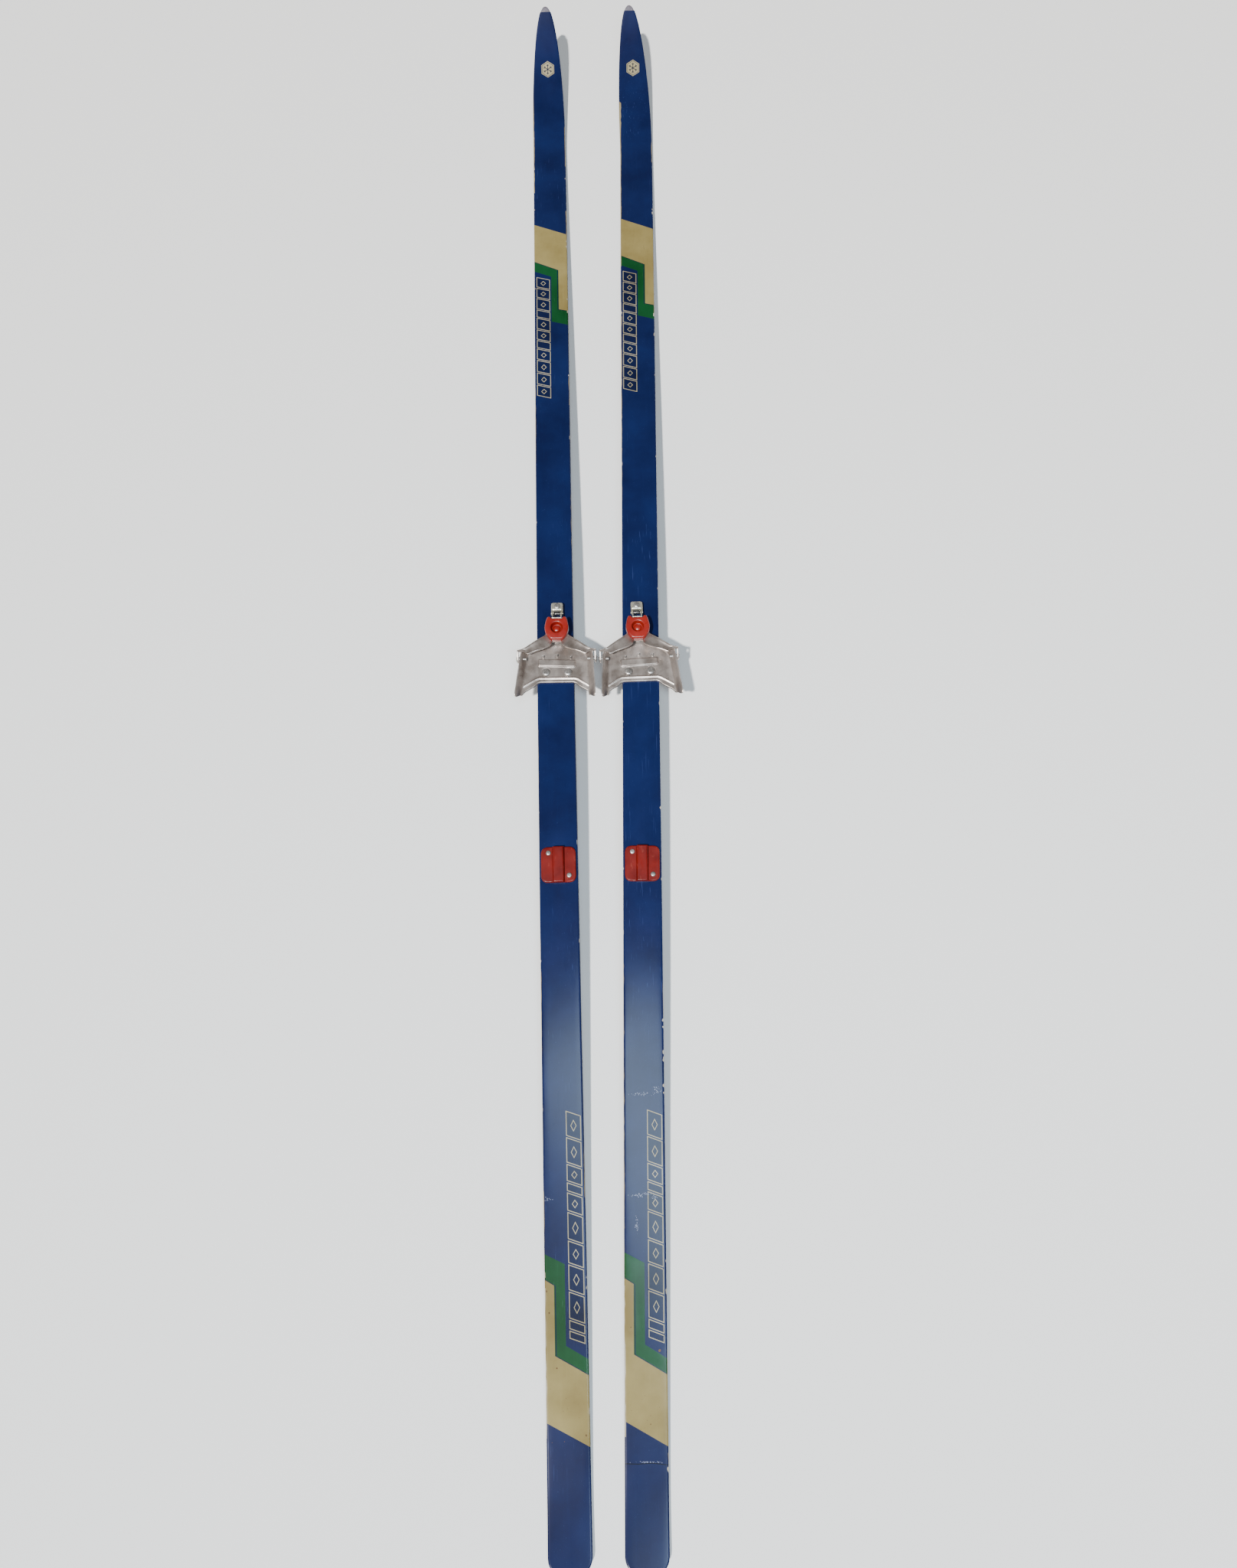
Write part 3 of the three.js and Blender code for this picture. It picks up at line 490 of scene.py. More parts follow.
def relief(outline, height, base, polygons, lines, scattered, mark=None):
    """A closed solid under height(x, y), with straight sides and its underside at base(x, y).

    mark gives a look for a face from the numbers of the polygons that it lies in.
    """
    flat, faces, owners = triangles(outline, polygons, lines, scattered)
    points = [(x, y, height(x, y)) for x, y in flat]
    directed = {pair for face in faces for pair in zip(face, face[1:] + face[:1])}
    border = {a: b for a, b in directed if (b, a) not in directed}
    ring = [next(iter(border))]
    while border[ring[-1]] != ring[0]:
        ring.append(border[ring[-1]])
    count, low = len(ring), len(points)
    points += [(*flat[k], base(*flat[k])) for k in ring]
    walls = [(ring[(i + 1) % count], ring[i], low + i, low + (i + 1) % count) for i in range(count)]
    around = [Vector(flat[k]) for k in ring]
    loop = list(range(count)) if anticlockwise(around) else list(range(count))[::-1]
    _, _, floor, sources, _, kept = delaunay_2d_cdt(around, [], [loop], 0, 1e-4)
    walls += [tuple(low + sources[k][0] for k in face) for face, owner in zip(floor, kept) if owner]
    solid = (points, [tuple(face) for face in faces] + walls)
    if mark:
        solid = (*solid, [mark(who) for who in owners] + [mark([])] * len(walls))
    return solid


def tablet(outline, high, edge):
    """A flat piece from 0 to high with its edges rounded."""
    turn = [math.pi / 2 * i / 3 for i in range(4)]
    rise = [(edge * (1 - math.sin(a)), edge * (1 - math.cos(a))) for a in turn]
    rows = rise + [(shrink, high - z) for shrink, z in reversed(rise)]
    return loft([[(x, y, z) for x, y in inset(outline, shrink)] for shrink, z in rows])


def grid(x0, x1, y0, y1, step):
    nx, ny = round((x1 - x0) / step), round((y1 - y0) / step)
    return [(x0 + step * (i + 0.5 * (j % 2)), y0 + step * j) for i in range(nx) for j in range(ny + 1)]


def ease_off(d, width, drop):
    """How far a rounded edge has dropped at the distance d from it."""
    return drop * (1 - math.sqrt(max(1 - ((width - d) / width) ** 2, 0))) if d < width else 0.0


# ---- the printed design of a top sheet -----------------------------------------------------------
BEYOND = 40          # past the ski's edge, so that a panel runs right over it
EDGE = WAIST_WIDTH / 2


def crossing(line):
    """The function that gives Y at X on a line across the ski, from its Y at the left and right edges."""
    return lambda x: line[0] + (line[1] - line[0]) * (x + EDGE) / (2 * EDGE)


def region(*corners):
    return [(x, line(x)) for x, line in corners]


# Y of each slanted line of the panels, at the left and the right edge of the ski.
FRONT_LINES = ((706, 687), (637, 615), (558, 547), (535, 522))
REAR_LINES = ((-697, -719.5), (-723.5, -750.5), (-777.5, -803.8), (-794.5, -819.7), (-865, -889))
SHADOW = 0.9         # width of the dark line that parts cream from green


def front_panels():
    top, split, foot, base = (crossing(line) for line in FRONT_LINES)
    bar, band = 10.8, 0.4
    cream = region((-BEYOND, top), (BEYOND, top), (BEYOND, foot), (bar, foot), (bar, split), (-BEYOND, split))
    near, far = bar - SHADOW, bar - 2 * SHADOW
    shadow = region((-BEYOND, split), (near, split), (near, foot), (BEYOND, foot))
    under = region((BEYOND, foot), (far, foot), (far, split), (-BEYOND, split))
    shadow += [(x, y - SHADOW) for x, y in under]
    green = region((-BEYOND, split), (bar, split), (bar, foot), (BEYOND, foot), (BEYOND, base), (band, base))
    green += [(band, 609), (-EDGE, 619), (-BEYOND, 624)]
    return [(green, "green"), (cream, "cream"), (shadow, "ink")]


def rear_panels():
    top, split, foot, join, base = (crossing(line) for line in REAR_LINES)
    bar, band = -12.8, -0.8
    green = region((-BEYOND, top), (band, top), (band, foot), (BEYOND, foot))
    green += region((BEYOND, join), (bar, join), (bar, split), (-BEYOND, split))
    cream = region((-BEYOND, split), (bar, split), (bar, join), (BEYOND, join))
    cream += region((BEYOND, base), (-BEYOND, base))
    near, far = bar + SHADOW, bar + 2 * SHADOW
    shadow = region((-BEYOND, split), (near, split), (near, join), (BEYOND, join))
    over = region((BEYOND, join), (far, join), (far, split), (-BEYOND, split))
    shadow += [(x, y + SHADOW) for x, y in over]
    return [(green, "green"), (cream, "cream"), (shadow, "ink")]


def blocks(x0, x1, start, rhythm, lean, stroke):
    """A column of outlined slanted blocks, the longer ones with a small outlined lozenge inside."""
    shapes = []
    y = start
    for length in rhythm:
        block = [(x0, y), (x1, y + lean), (x1, y + lean - length), (x0, y - length)]
        shapes += [(block, "line"), (inset(block, stroke), "ink")]
        if length > LONG_BLOCK:
            cx, cy = (x0 + x1) / 2, y + (lean - length) / 2
            wide, tall = (x1 - x0) * 0.2, length * 0.24
            lozenge = [(cx - wide, cy), (cx, cy + tall), (cx + wide, cy), (cx, cy - tall)]
            shapes += [(lozenge, "line"), (inset(lozenge, stroke * 0.8), "ink")]
        y -= length + BLOCK_GAP
    return shapes


FRONT_RHYTHM = [18, 17, 19, 13, 19, 17, 13, 18, 20, 19, 18]
REAR_RHYTHM = [27, 27, 18, 9, 19, 28, 23, 26, 27, 9, 8]
BLOCK_GAP = 1.6
LONG_BLOCK = 15
FRONT_SHIFT = {"left": -4, "right": 4.5}      # the front prints of the two skis are not quite level
BADGE_Y = 971
BADGE_RADIUS = 11


def badge(side):
    """A pale hexagon with a plain six-armed crystal."""
    cx = sweep(BADGE_Y, side) + 0.6
    ring = arc(cx, BADGE_Y, BADGE_RADIUS, 30, 330, 5)
    shapes = [(ring, "line"), (inset(ring, 0.9), "ink"), (inset(ring, 1.5), "line")]
    middle = Vector((cx, BADGE_Y))
    for turn in range(6):
        angle = math.radians(60 * turn + 30)
        along = Vector((math.cos(angle), math.sin(angle)))
        across = Vector((-along.y, along.x))
        arm = [(0, 0.45), (7, 0.45), (7, -0.45), (0, -0.45)]
        shapes.append(([tuple(middle + along * a + across * b) for a, b in arm], "ink"))
        for sign in (1, -1):
            twig = [(3.6, 0), (5.9, sign * 2.1), (6.4, sign * 1.5), (4.5, 0)]
            shapes.append(([tuple(middle + along * a + across * b) for a, b in twig], "ink"))
    return shapes


def flake(rng, cx, cy, wide, tall, look, corners=9):
    """A small ragged patch where the print is gone or dirty."""
    turns = [2 * math.pi * i / corners for i in range(corners)]
    reach = [rng.uniform(0.55, 1.0) for _ in turns]
    return [(cx + wide * r * math.cos(a), cy + tall * r * math.sin(a)) for r, a in zip(reach, turns)], look


def rubbed_edge(rng, sign, y0, y1, depth, look):
    """A ragged strip along an edge, where the print is rubbed through."""
    rows = []
    y = y0
    while y < y1:
        rows.append((sign * (EDGE - rng.uniform(0.1, 1.0) * depth + 0.3), y))
        y += rng.uniform(3, 14)
    return [(sign * (EDGE + 2), y0), *rows, (sign * (EDGE + 2), y1)], look


# Marks that the photo shows in particular places.
CHIPS = ((-196, 2.4), (-447, 2.2), (-455, 1.5), (-483, 3), (-492, 1.6), (-520, 2.6), (-528, 1.4))    # Y, size
SCUFFS = (           # X, Y, width, length
    (-2, -529, 12, 1.6), (14, -525, 4, 5), (-8, -638, 9, 1.5), (3, -636, 6, 1.2),
    (11, -640, 3, 3), (5, -904, 15, 0.9), (-9, -670, 2, 9),
)
CRACK = ((-BEYOND, -904.6), (-9, -905.4), (6, -904.4), (BEYOND, -908.2))
CRACK_WIDTH = 0.9


def right_marks(rng):
    """Chips along the right edge, scuffs across the top, specks, and a crack near the tail."""
    marks = [flake(rng, EDGE, y, 1.7, size, "chip") for y, size in CHIPS]
    for x, y, wide, tall in SCUFFS:
        for _ in range(round(3 * (wide + tall))):
            dot = (x + rng.gauss(0, wide / 2), y + rng.gauss(0, tall / 2))
            if abs(dot[0]) < EDGE - 2:
                marks.append(flake(rng, *dot, rng.uniform(0.2, 0.8), rng.uniform(0.2, 0.7), "scuff", 6))
    marks.append(flake(rng, 15, -796, 2.4, 1.8, "grime"))
    marks += [flake(rng, x, y, 0.7, 0.9, "grime") for x, y in ((-16, -773), (4.7, -868))]
    marks.append(([*CRACK, *((x, y - CRACK_WIDTH) for x, y in reversed(CRACK))], "crack"))
    marks.append(flake(rng, EDGE, -911, 1.8, 3, "chip"))
    return marks


def left_marks(rng):
    """Specks in the cream, and one scuff by the left edge."""
    specks = ((-18.5, -757), (-11, -812), (19, -878), (-21, -735))
    marks = [flake(rng, x, y, 0.9, 1.3, "grime") for x, y in specks]
    for _ in range(12):
        x, y = rng.gauss(-17, 3), rng.gauss(-640, 1.2)
        marks.append(flake(rng, x, y, rng.uniform(0.2, 0.8), 0.5, "scuff", 6))
    return marks


def wear(side):
    """Rubbed and chipped edges, the marks of one ski only, and fine dirt in the cream."""
    rng = random.Random(f"wear {side}")
    marks = []
    for _ in range(16):
        y = rng.uniform(-960, 840)
        marks.append(rubbed_edge(rng, -1, y, y + rng.uniform(40, 160), rng.uniform(0.5, 1.0), "worn"))
    for _ in range(6):
        y = rng.uniform(-960, 840)
        marks.append(rubbed_edge(rng, 1, y, y + rng.uniform(20, 90), rng.uniform(0.4, 0.8), "worn"))
    marks.append(rubbed_edge(rng, -1, -880, -730, 1.5, "chip"))
    for _ in range(22):
        x, y = rng.choice((-EDGE, EDGE)), rng.uniform(-980, 900)
        marks.append(flake(rng, x, y, rng.uniform(0.5, 1.2), rng.uniform(1, 4), "chip"))
    marks += right_marks(rng) if side == "right" else left_marks(rng)
    for y0, y1, count in ((-885, -830, 8), (640, 700, 5)):
        for _ in range(count):
            marks.append(flake(rng, rng.uniform(-20, 20), rng.uniform(y0, y1), 0.4, 0.5, "grime", 6))
    return marks


def design(side):
    front = front_panels() + blocks(-20.5, -1.5, 609, FRONT_RHYTHM, -5.5, 0.9)
    front = [([(x, y + FRONT_SHIFT[side]) for x, y in shape], look) for shape, look in front]
    rear = rear_panels() + blocks(3.2, 20.2, -546, REAR_RHYTHM, -6, 0.85)
    return front + rear + badge(side) + wear(side)


# ---- the layers of a ski -------------------------------------------------------------------------
STEP = 9             # between sections along the ski
TAIL_STEPS = (0.15, 0.5, 1, 1.8, 3, 4.5, 6.5, 9, 12, 16)      # where the outline closes, from each end
TIP_STEPS = (0.1, 0.4, 0.9, 1.6, 2.6, 4, 5.5, 7.5, 10, 13, 17, 22, 28, 35, 43)
SEAM = 0.04          # between the ski's layers
TUCK = 0.12          # from the edges of the sheets in to the walls and spacers between them


def stations(start, end):
    ys = {start, end, *range(TAIL + 20, TIP - 46, STEP)}
    ys |= {TAIL + step for step in TAIL_STEPS} | {TIP - step for step in TIP_STEPS}
    return sorted(y for y in ys if start <= y <= end)


def along_ski(side, start, end, section):
    """A loft of section(y), whose rows are (x, height over the sole)."""
    ys = stations(start, end)
    return loft([[(x + sweep(y, side), y, bottom(y) + z) for x, z in section(y)] for y in ys])


def sole_section(y):
    half = half_width(y)
    groove = min(4.5, half * 0.4)
    deep = 0.02 + 0.9 * smooth((TIP - 120 - y) / 60)
    notch = [(-groove, 0), (-groove + 0.7, deep), (groove - 0.7, deep), (groove, 0)]
    bevel = 0.35
    right = [(half - bevel, 0), (half, bevel), (half, SOLE)]
    return [(-half + bevel, 0), *notch, *right, (-half, SOLE), (-half, bevel)]


def wall_section(sign):
    def section(y):
        outer, inner = half_width(y) - TUCK, half_width(y) - SIDEWALL
        low, high = SOLE + SEAM, thickness(y) - TOP_SHEET - SEAM
        box = rounded([(inner, low), (outer, low), (outer, high), (inner, high)], 0.3, 2)
        return [(sign * x, z) for x, z in box]
    return section


def spacer_section(y):
    half = half_width(y) - TUCK
    low, high = SOLE + SEAM, thickness(y) - TOP_SHEET - SEAM
    return rounded([(-half, low), (half, low), (half, high), (-half, high)], 0.3, 2)


def nose_section(y):
    """Rounded all round, and drawn in towards the very tip."""
    close = math.sqrt(max(1 - ((y - (TIP - 5)) / 5.05) ** 2, 0)) if y > TIP - 5 else 1.0
    half, low, high = half_width(y), 0.5, thickness(y) - 0.4
    middle, rise = (low + high) / 2, (high - low) / 2 * (0.35 + 0.65 * close)
    box = [(-half, middle - rise), (half, middle - rise), (half, middle + rise), (-half, middle + rise)]
    return rounded(box, min(rise, half) * 0.95, 4)


BEVEL = (0.02, 0.15, 0.4, 0.75, 1.2, 1.8, 2.4)      # lines of points in from the top sheet's edge
COLUMNS = (-0.75, -0.5, -0.25, 0, 0.25, 0.5, 0.75)      # and across what is left of its half width


def top_sheet(side):
    rows = stations(TAIL, TIP - CAP_LENGTH - GAP)
    rim = lambda sign, d: [(sign * (half_width(y) - d) + sweep(y, side), y) for y in rows]
    outline = rim(1, BEVEL[0]) + rim(-1, BEVEL[0])[::-1]
    lines = [rim(sign, d) for d in BEVEL[1:] for sign in (1, -1)]
    scattered = [((half_width(y) - 3) * c + sweep(y, side), y) for y in rows for c in COLUMNS]
    shapes = design(side)

    def height(x, y):
        from_edge = half_width(y) - abs(x - sweep(y, side))
        return bottom(y) + thickness(y) - ease_off(from_edge, BEVEL[-1], 0.8)

    def look(owners):
        return shapes[max(owners)][1] if owners else "navy"

    under = lambda x, y: bottom(y) + thickness(y) - TOP_SHEET + SEAM
    return relief(outline, height, under, [shape for shape, _ in shapes], lines, scattered, look)


def build_ski(side, place):
    body = f"{side}_ski"
    sheet_end = TIP - CAP_LENGTH - GAP
    core_from, core_to = TAIL + TAIL_SPACER, TIP - TIP_SPACER
    piece(f"{side}_top_sheet", place, [top_sheet(side)], PRINTS, body)
    sole = along_ski(side, TAIL, sheet_end, sole_section)
    piece(f"{side}_sole", place, [sole], "base", body)
    for name, sign in (("left", -1), ("right", 1)):
        wall = along_ski(side, core_from, core_to, wall_section(sign))
        piece(f"{side}_sidewall_{name}", place, [wall], "edge", body)
    inner = along_ski(side, core_to + GAP, TIP - CAP_LENGTH + 0.5, spacer_section)
    nose = along_ski(side, TIP - CAP_LENGTH, TIP, nose_section)
    piece(f"{side}_tip_spacer", place, [inner, nose], "nose", body)
    tail = along_ski(side, TAIL, core_from - GAP, spacer_section)
    piece(f"{side}_tail_spacer", place, [tail], "nose", body)
    for name, look in (("core", "wood"), ("lower_laminate", "laminate"), ("upper_laminate", "laminate")):
        node = frame["nodes"][f"{side}_{name}"]
        node.data.materials.clear()
        node.data.materials.append(LOOKS[look])


# ---- fasteners -----------------------------------------------------------------------------------
def shank(radius, length, top):
    """A threaded wood screw shank under a head at height top."""
    rows = [(0.05, top - length), (radius * 0.6, top - length + 2)]
    steps = int((length - 4) / 0.8)
    for i in range(steps):
        z = top - length + 3 + i * (length - 4) / steps
        rows += [(radius * 0.78, z), (radius, z + 0.3)]
    return lathe([*rows, (radius * 0.9, top)], 16)


def cross_screw(radius, rise, shaft, length, top, turn, domed=2.4):
    """A pan head with a cross recess, on a threaded shank."""
    arm, half = radius * 0.56, radius * 0.14
    cross = [(half, arm), (half, half), (arm, half), (arm, -half), (half, -half), (half, -arm)]
    cross += [(-x, -y) for x, y in cross]
    cos, sin = math.cos(turn), math.sin(turn)
    turned = [(x * cos - y * sin, x * sin + y * cos) for x, y in cross]
    rim, *rings = (circle(0, 0, radius * f, 48) for f in (1, 0.99, 0.96, 0.9, 0.82, 0.7))

    def height(x, y):
        r = math.hypot(x, y) / radius
        z = top + rise * (0.35 + 0.65 * math.sqrt(max(1 - r ** domed, 0)))
        if inside((x, y), turned):
            z -= rise * 0.7 * smooth(distance((x, y), turned) / (half * 0.6)) * (1 - 0.35 * r)
        return z

    inner = inset(turned, half * 0.6)
    scattered = grid(-radius * 0.7, radius * 0.7, -radius * 0.7, radius * 0.7, radius * 0.12)
    head = relief(rim, height, lambda x, y: top, [turned, inner, *rings], (), scattered)
    return [head, shank(shaft, length, top)]


def dome(radius, rise, low, steps=7):
    """Rows of a domed rivet head for lathe(), from its rim at low to its crown."""
    turn = [math.pi / 2 * i / steps for i in range(steps + 1)]
    return [(max(radius * math.cos(a), 0.01), low + rise * (0.25 + 0.75 * math.sin(a))) for a in turn]


# ---- the toe plate -------------------------------------------------------------------------------
def skewed(points):
    turn = Matrix.Rotation(PLATE_SKEW, 2)
    return [tuple(turn @ Vector(p)) for p in points]


def ear_line(rear):
    """The foot of an ear from the plate's front lip to its rear corner: (x, y, wall height over the seat)."""
    full = EAR_TOP - SEAT
    rows = [(8.6, 19.4, 1.2), (10, 17.6, 2), (18, 14.9, 2.5), (26.5, 11.4, 4)]
    rows += [(33, 7, 7.5), (36.8, 2.6, full)]
    level = [(y, 0) for y in (-2, -14, -28, -42, -51)]
    for y, fall in [*level, (-54.2, 0.5), (-55.6, 1.6), (EAR_REAR, 3.2)]:
        rows.append((EAR_BASE_FRONT + (rear - EAR_BASE_FRONT) * y / EAR_REAR, y, full - fall))
    return rows


def ear(rear, sign):
    rows = curve(ear_line(rear), 4)
    rings = []
    for i, (x, y, height) in enumerate(rows):
        before, after = rows[max(i - 1, 0)], rows[min(i + 1, len(rows) - 1)]
        along = Vector((after[0] - before[0], after[1] - before[1])).normalized()
        out = (-along.y, along.x)
        lean = EAR_LEAN * height / (EAR_TOP - SEAT)
        wall = [(0.02, 0.1), (0.2, 0.35), (0.55, 0.68), (0.93, 0.96)]
        inner = [(-2.2, SEAT + 0.02), (-1.2, SEAT + 0.15), (-0.4, SEAT + 0.5)]
        inner += [(lean * a, SEAT + height * b) for a, b in wall]
        lip = [(lean + 0.35, SEAT + height), (lean + EAR_SHEET - 0.45, SEAT + height)]
        outer = [(lean * a + EAR_SHEET, SEAT + height * b) for a, b in reversed(wall)]
        foot = [(EAR_SHEET - 0.3, SEAT - 0.6), (EAR_SHEET - 1.2, GAP + 0.15), (-2.2, GAP + 0.1)]
        back = EAR_SLANT * max(0, (y - EAR_SLANT_FROM) / (EAR_REAR - EAR_SLANT_FROM))
        slant = lambda z: back * (1 - min(max((z - SEAT) / height, 0), 1))
        section = inner + lip + outer + foot
        rings.append([(sign * (x + out[0] * d), y + out[1] * d + slant(z), z) for d, z in section])
    return loft(rings)


def plate_outline():
    def half(rear):
        line = [(x + 0.4, y) for x, y, _ in ear_line(rear)[1:-4]]
        wing = [(rear, -49), (rear - 2.4, -50), (40, -45.8), (27, -38), (24.4, -34.8), (21, -33.3)]
        return [(6, 33), (6.4, 21), *line, *wing]

    outer, inner = half(EAR_BASE_REAR[1]), [(-x, y) for x, y in half(EAR_BASE_REAR[-1])]
    bends = [2, 5] + [0.5] * 9 + [1, 1.4, 3, 2.5, 2, 2.5]
    return rounded(outer + inner[::-1], bends + bends[::-1], 4)


def away(point, line):
    """Distance from a point to a run of straight pieces."""
    return distance(point, line + line[-2:0:-1])


def toe_plate():
    outline = plate_outline()
    rib = skewed(rounded(box_outline(46, 9, 0, RIB_Y), 2, 4))
    bead = [(-39, -37.6), (-26.5, -29), (-22, -27.5), (22, -27.5), (26.5, -29), (41, -38.2)]
    pins = skewed(PINS)

    def height(x, y):
        z = SEAT - ease_off(distance((x, y), outline), 1.1, 0.9)
        from_rib = distance((x, y), rib)
        signed = from_rib if inside((x, y), rib) else -from_rib
        z += (RIB - SEAT) * smooth((signed + 0.8) / 1.6)
        z += 0.9 * smooth(1.25 - away((x, y), bead) / 1.5)
        for px, py in pins:
            z -= 0.35 * smooth((3.4 - math.hypot(x - px, y - py)) / 1.4)
        for sx, sy in PLATE_SCREWS:
            z -= 0.3 * smooth((7 - math.hypot(x - sx, y - sy)) / 1.6)
        return z

    polygons = [inset(outline, d) for d in (0.15, 0.45, 0.8, 1.1)]
    polygons += [inset(rib, d) for d in (-0.8, -0.4, 0, 0.4, 0.8)]
    polygons += [circle(x, y, r, 24) for x, y in pins for r in (2, 2.7, 3.4)]
    polygons += [circle(x, y, r, 36) for x, y in PLATE_SCREWS for r in (5.4, 6.2, 7)]
    lines = [[(x, y + d) for x, y in bead] for d in (-1.9, -1.2, -0.4, 0.4, 1.2, 1.9)]
    floor = relief(outline, height, lambda x, y: GAP, polygons, lines, grid(-46, 46, -55, 33, 1.8))
    return [floor, ear(EAR_BASE_REAR[1], 1), ear(EAR_BASE_REAR[-1], -1)]


# ---- the bail, its knob and the latch ------------------------------------------------------------
# Front and rear edges of half the bail's sheet, underside, from the middle out to the lug.
BAIL_EDGES = [
    (0, 40, 7.5, 0, 18.5, 7.9), (6, 40, 7.5, 5.4, 17.8, 8.4), (11, 36, 7.6, 6.4, 14.5, 11.5),
    (14.5, 28, 8.6, 7.6, 11, BAIL_SEAT), (19.5, 22.8, 12, 13, 7.4, BAIL_SEAT),
    (27, 17, BAIL_SEAT - 0.5, 22, 4, BAIL_SEAT), (34, 11.8, BAIL_SEAT, 29.5, 1.4, BAIL_SEAT),
    (38.6, 8.4, BAIL_SEAT, 36, -1.2, BAIL_SEAT), (42.6, 6.2, BAIL_SEAT, 40.8, 1.8, BAIL_SEAT),
    (48.4, 4.6, BAIL_SEAT, 48.4, 2.5, BAIL_SEAT),
]
# Its section: how far from front edge to rear edge, height over the underside in sheet thicknesses.
BAIL_SECTION = [
    (0.04, 0), (0.25, 0.08), (0.5, 0.12), (0.75, 0.08), (0.96, 0), (1, 0.3), (1, 0.9),
    (0.98, 1.24), (0.94, 1.34), (0.88, 1.2), (0.8, 0.9), (0.5, 0.96), (0.28, 0.9), (0.2, 1.12),
    (0.15, 1.14), (0.1, 1.05), (0.065, 1.3), (0.025, 1.24), (0, 0.9), (0, 0.3),
]


def bail():
    mirrored = [(-a, b, c, -d, e, f) for a, b, c, d, e, f in BAIL_EDGES[:0:-1]]
    rings = []
    for row in curve(mirrored + BAIL_EDGES, 6):
        front, rear = Vector(row[:3]), Vector(row[3:])
        rings.append([tuple(front.lerp(rear, s) + Vector((0, 0, BAIL_SHEET * h))) for s, h in BAIL_SECTION])
    disc = arc(PIVOT_Y, PIVOT_Z, LUG_RADIUS, 125, 390, 28)
    top = BAIL_SEAT + BAIL_SHEET
    corner = rounded([(5.2, BAIL_SEAT - 1), (5.2, top), (2.4, top)], 0.8, 3)
    lug = tablet([*disc, *corner], LUG_SHEET, 0.35)
    return [loft(rings), upright(lug, LUG_INNER), upright(lug, -LUG_INNER - LUG_SHEET)]


def knob():
    along = lambda t: KNOB_REAR + (KNOB_FRONT - KNOB_REAR) * t
    half = [(7.8, 0), (13.4, 0.25), (15.3, 0.52), (13, 0.88), (11.2, 1), (8.2, 1)]
    right = [(x, along(t)) for x, t in half] + [(6.6, 46.9)]
    bends = [3, 5, 6, 4, 1.6, 0.8, 0.8]
    outline = rounded(right + [(-x, y) for x, y in reversed(right)], bends + bends[::-1], 5)
    floor = KNOB_TOP - CUP_DEPTH
    cup = [(0, floor), (5.7, floor), (6.1, 12.5), (6.5, 13.6), (7.1, 16.6), (7.45, 18)]
    cup += [(CUP_RADIUS, 18.4), (8.5, KNOB_TOP)]

    def height(x, y):
        r = math.hypot(x, y - CUP_Y)
        if r < cup[-1][0]:
            return table(cup, r)
        return KNOB_TOP - ease_off(distance((x, y), outline), 2.2, 2.0) - 0.5 * smooth((CUP_Y - 8 - y) / 10)

    polygons = [inset(outline, d) for d in (0.1, 0.35, 0.75, 1.2, 1.7)]
    polygons += [circle(0, CUP_Y, r, 60) for r, _ in cup[1:]]
    return [relief(outline, height, lambda x, y: KNOB_BASE, polygons, (), grid(-15, 15, 17, 49, 1.6))]


def swept(path, radius, sides):
    """A round wire along a path, with domed ends."""
    points = [Vector(p) for p in path]
    last = len(points) - 1
    turn = [2 * math.pi * k / sides for k in range(sides)]
    domes = {0: [(0.55, -0.75), (0.85, -0.4), (1, 0)], last: [(1, 0), (0.85, 0.4), (0.55, 0.75)]}
    rings = []
    normal = None
    for i, p in enumerate(points):
        along = (points[min(i + 1, last)] - points[max(i - 1, 0)]).normalized()
        guess = normal if normal else (Vector((0, 0, 1)) if abs(along.z) < 0.8 else Vector((1, 0, 0)))
        normal = (guess - along * guess.dot(along)).normalized()
        side = along.cross(normal)
        spokes = [normal * math.cos(a) + side * math.sin(a) for a in turn]
        for shrink, ahead in domes.get(i, [(1, 0)]):
            middle = p + along * radius * ahead
            rings.append([tuple(middle + spoke * radius * shrink) for spoke in spokes])
    return loft(rings)


def latch_stirrup():
    eye = arc(LATCH_Y, LATCH_Z, 2.4, -150, 60, 18)
    rear, low, high = (CROSSBAR_Y - CROSSBAR_RADIUS, CROSSBAR_Z - CROSSBAR_RADIUS,
                       CROSSBAR_Z + CROSSBAR_RADIUS)
    bar = rounded([(CROSSBAR_Y + 1, high), (rear, high), (rear, low)], 0.7, 3)
    cheek = tablet([*eye, *bar], 1.5, 0.35)
    bar_path = [(x, CROSSBAR_Y, CROSSBAR_Z) for x in (-5.4, -3, 0, 3, 5.4)]
    return [upright(cheek, 4.7), upright(cheek, -6.2), swept(bar_path, CROSSBAR_RADIUS, 14)]


def latch_head():
    middle = (HEAD_FRONT + HEAD_REAR) / 2
    outline = rounded(box_outline(HEAD_WIDTH, HEAD_FRONT - HEAD_REAR, 0, middle), 3.2, 6)
    height = lambda x, y: HEAD_TOP - ease_off(distance((x, y), outline), 2.4, 2.3)
    polygons = [inset(outline, d) for d in (0.05, 0.2, 0.5, 0.9, 1.4, 2, 2.4)]
    block = relief(outline, height, lambda x, y: GAP, polygons, (), grid(-5, 5, 65, 72, 1.5))
    cheek = [(65.5, 1.5), (65.5, 6.8), *arc(LATCH_Y, LATCH_Z, 2.5, 90, 270, 14)]
    plate = tablet(cheek, 0.9, 0.25)
    return [block, upright(plate, 6.5), upright(plate, -7.4)]


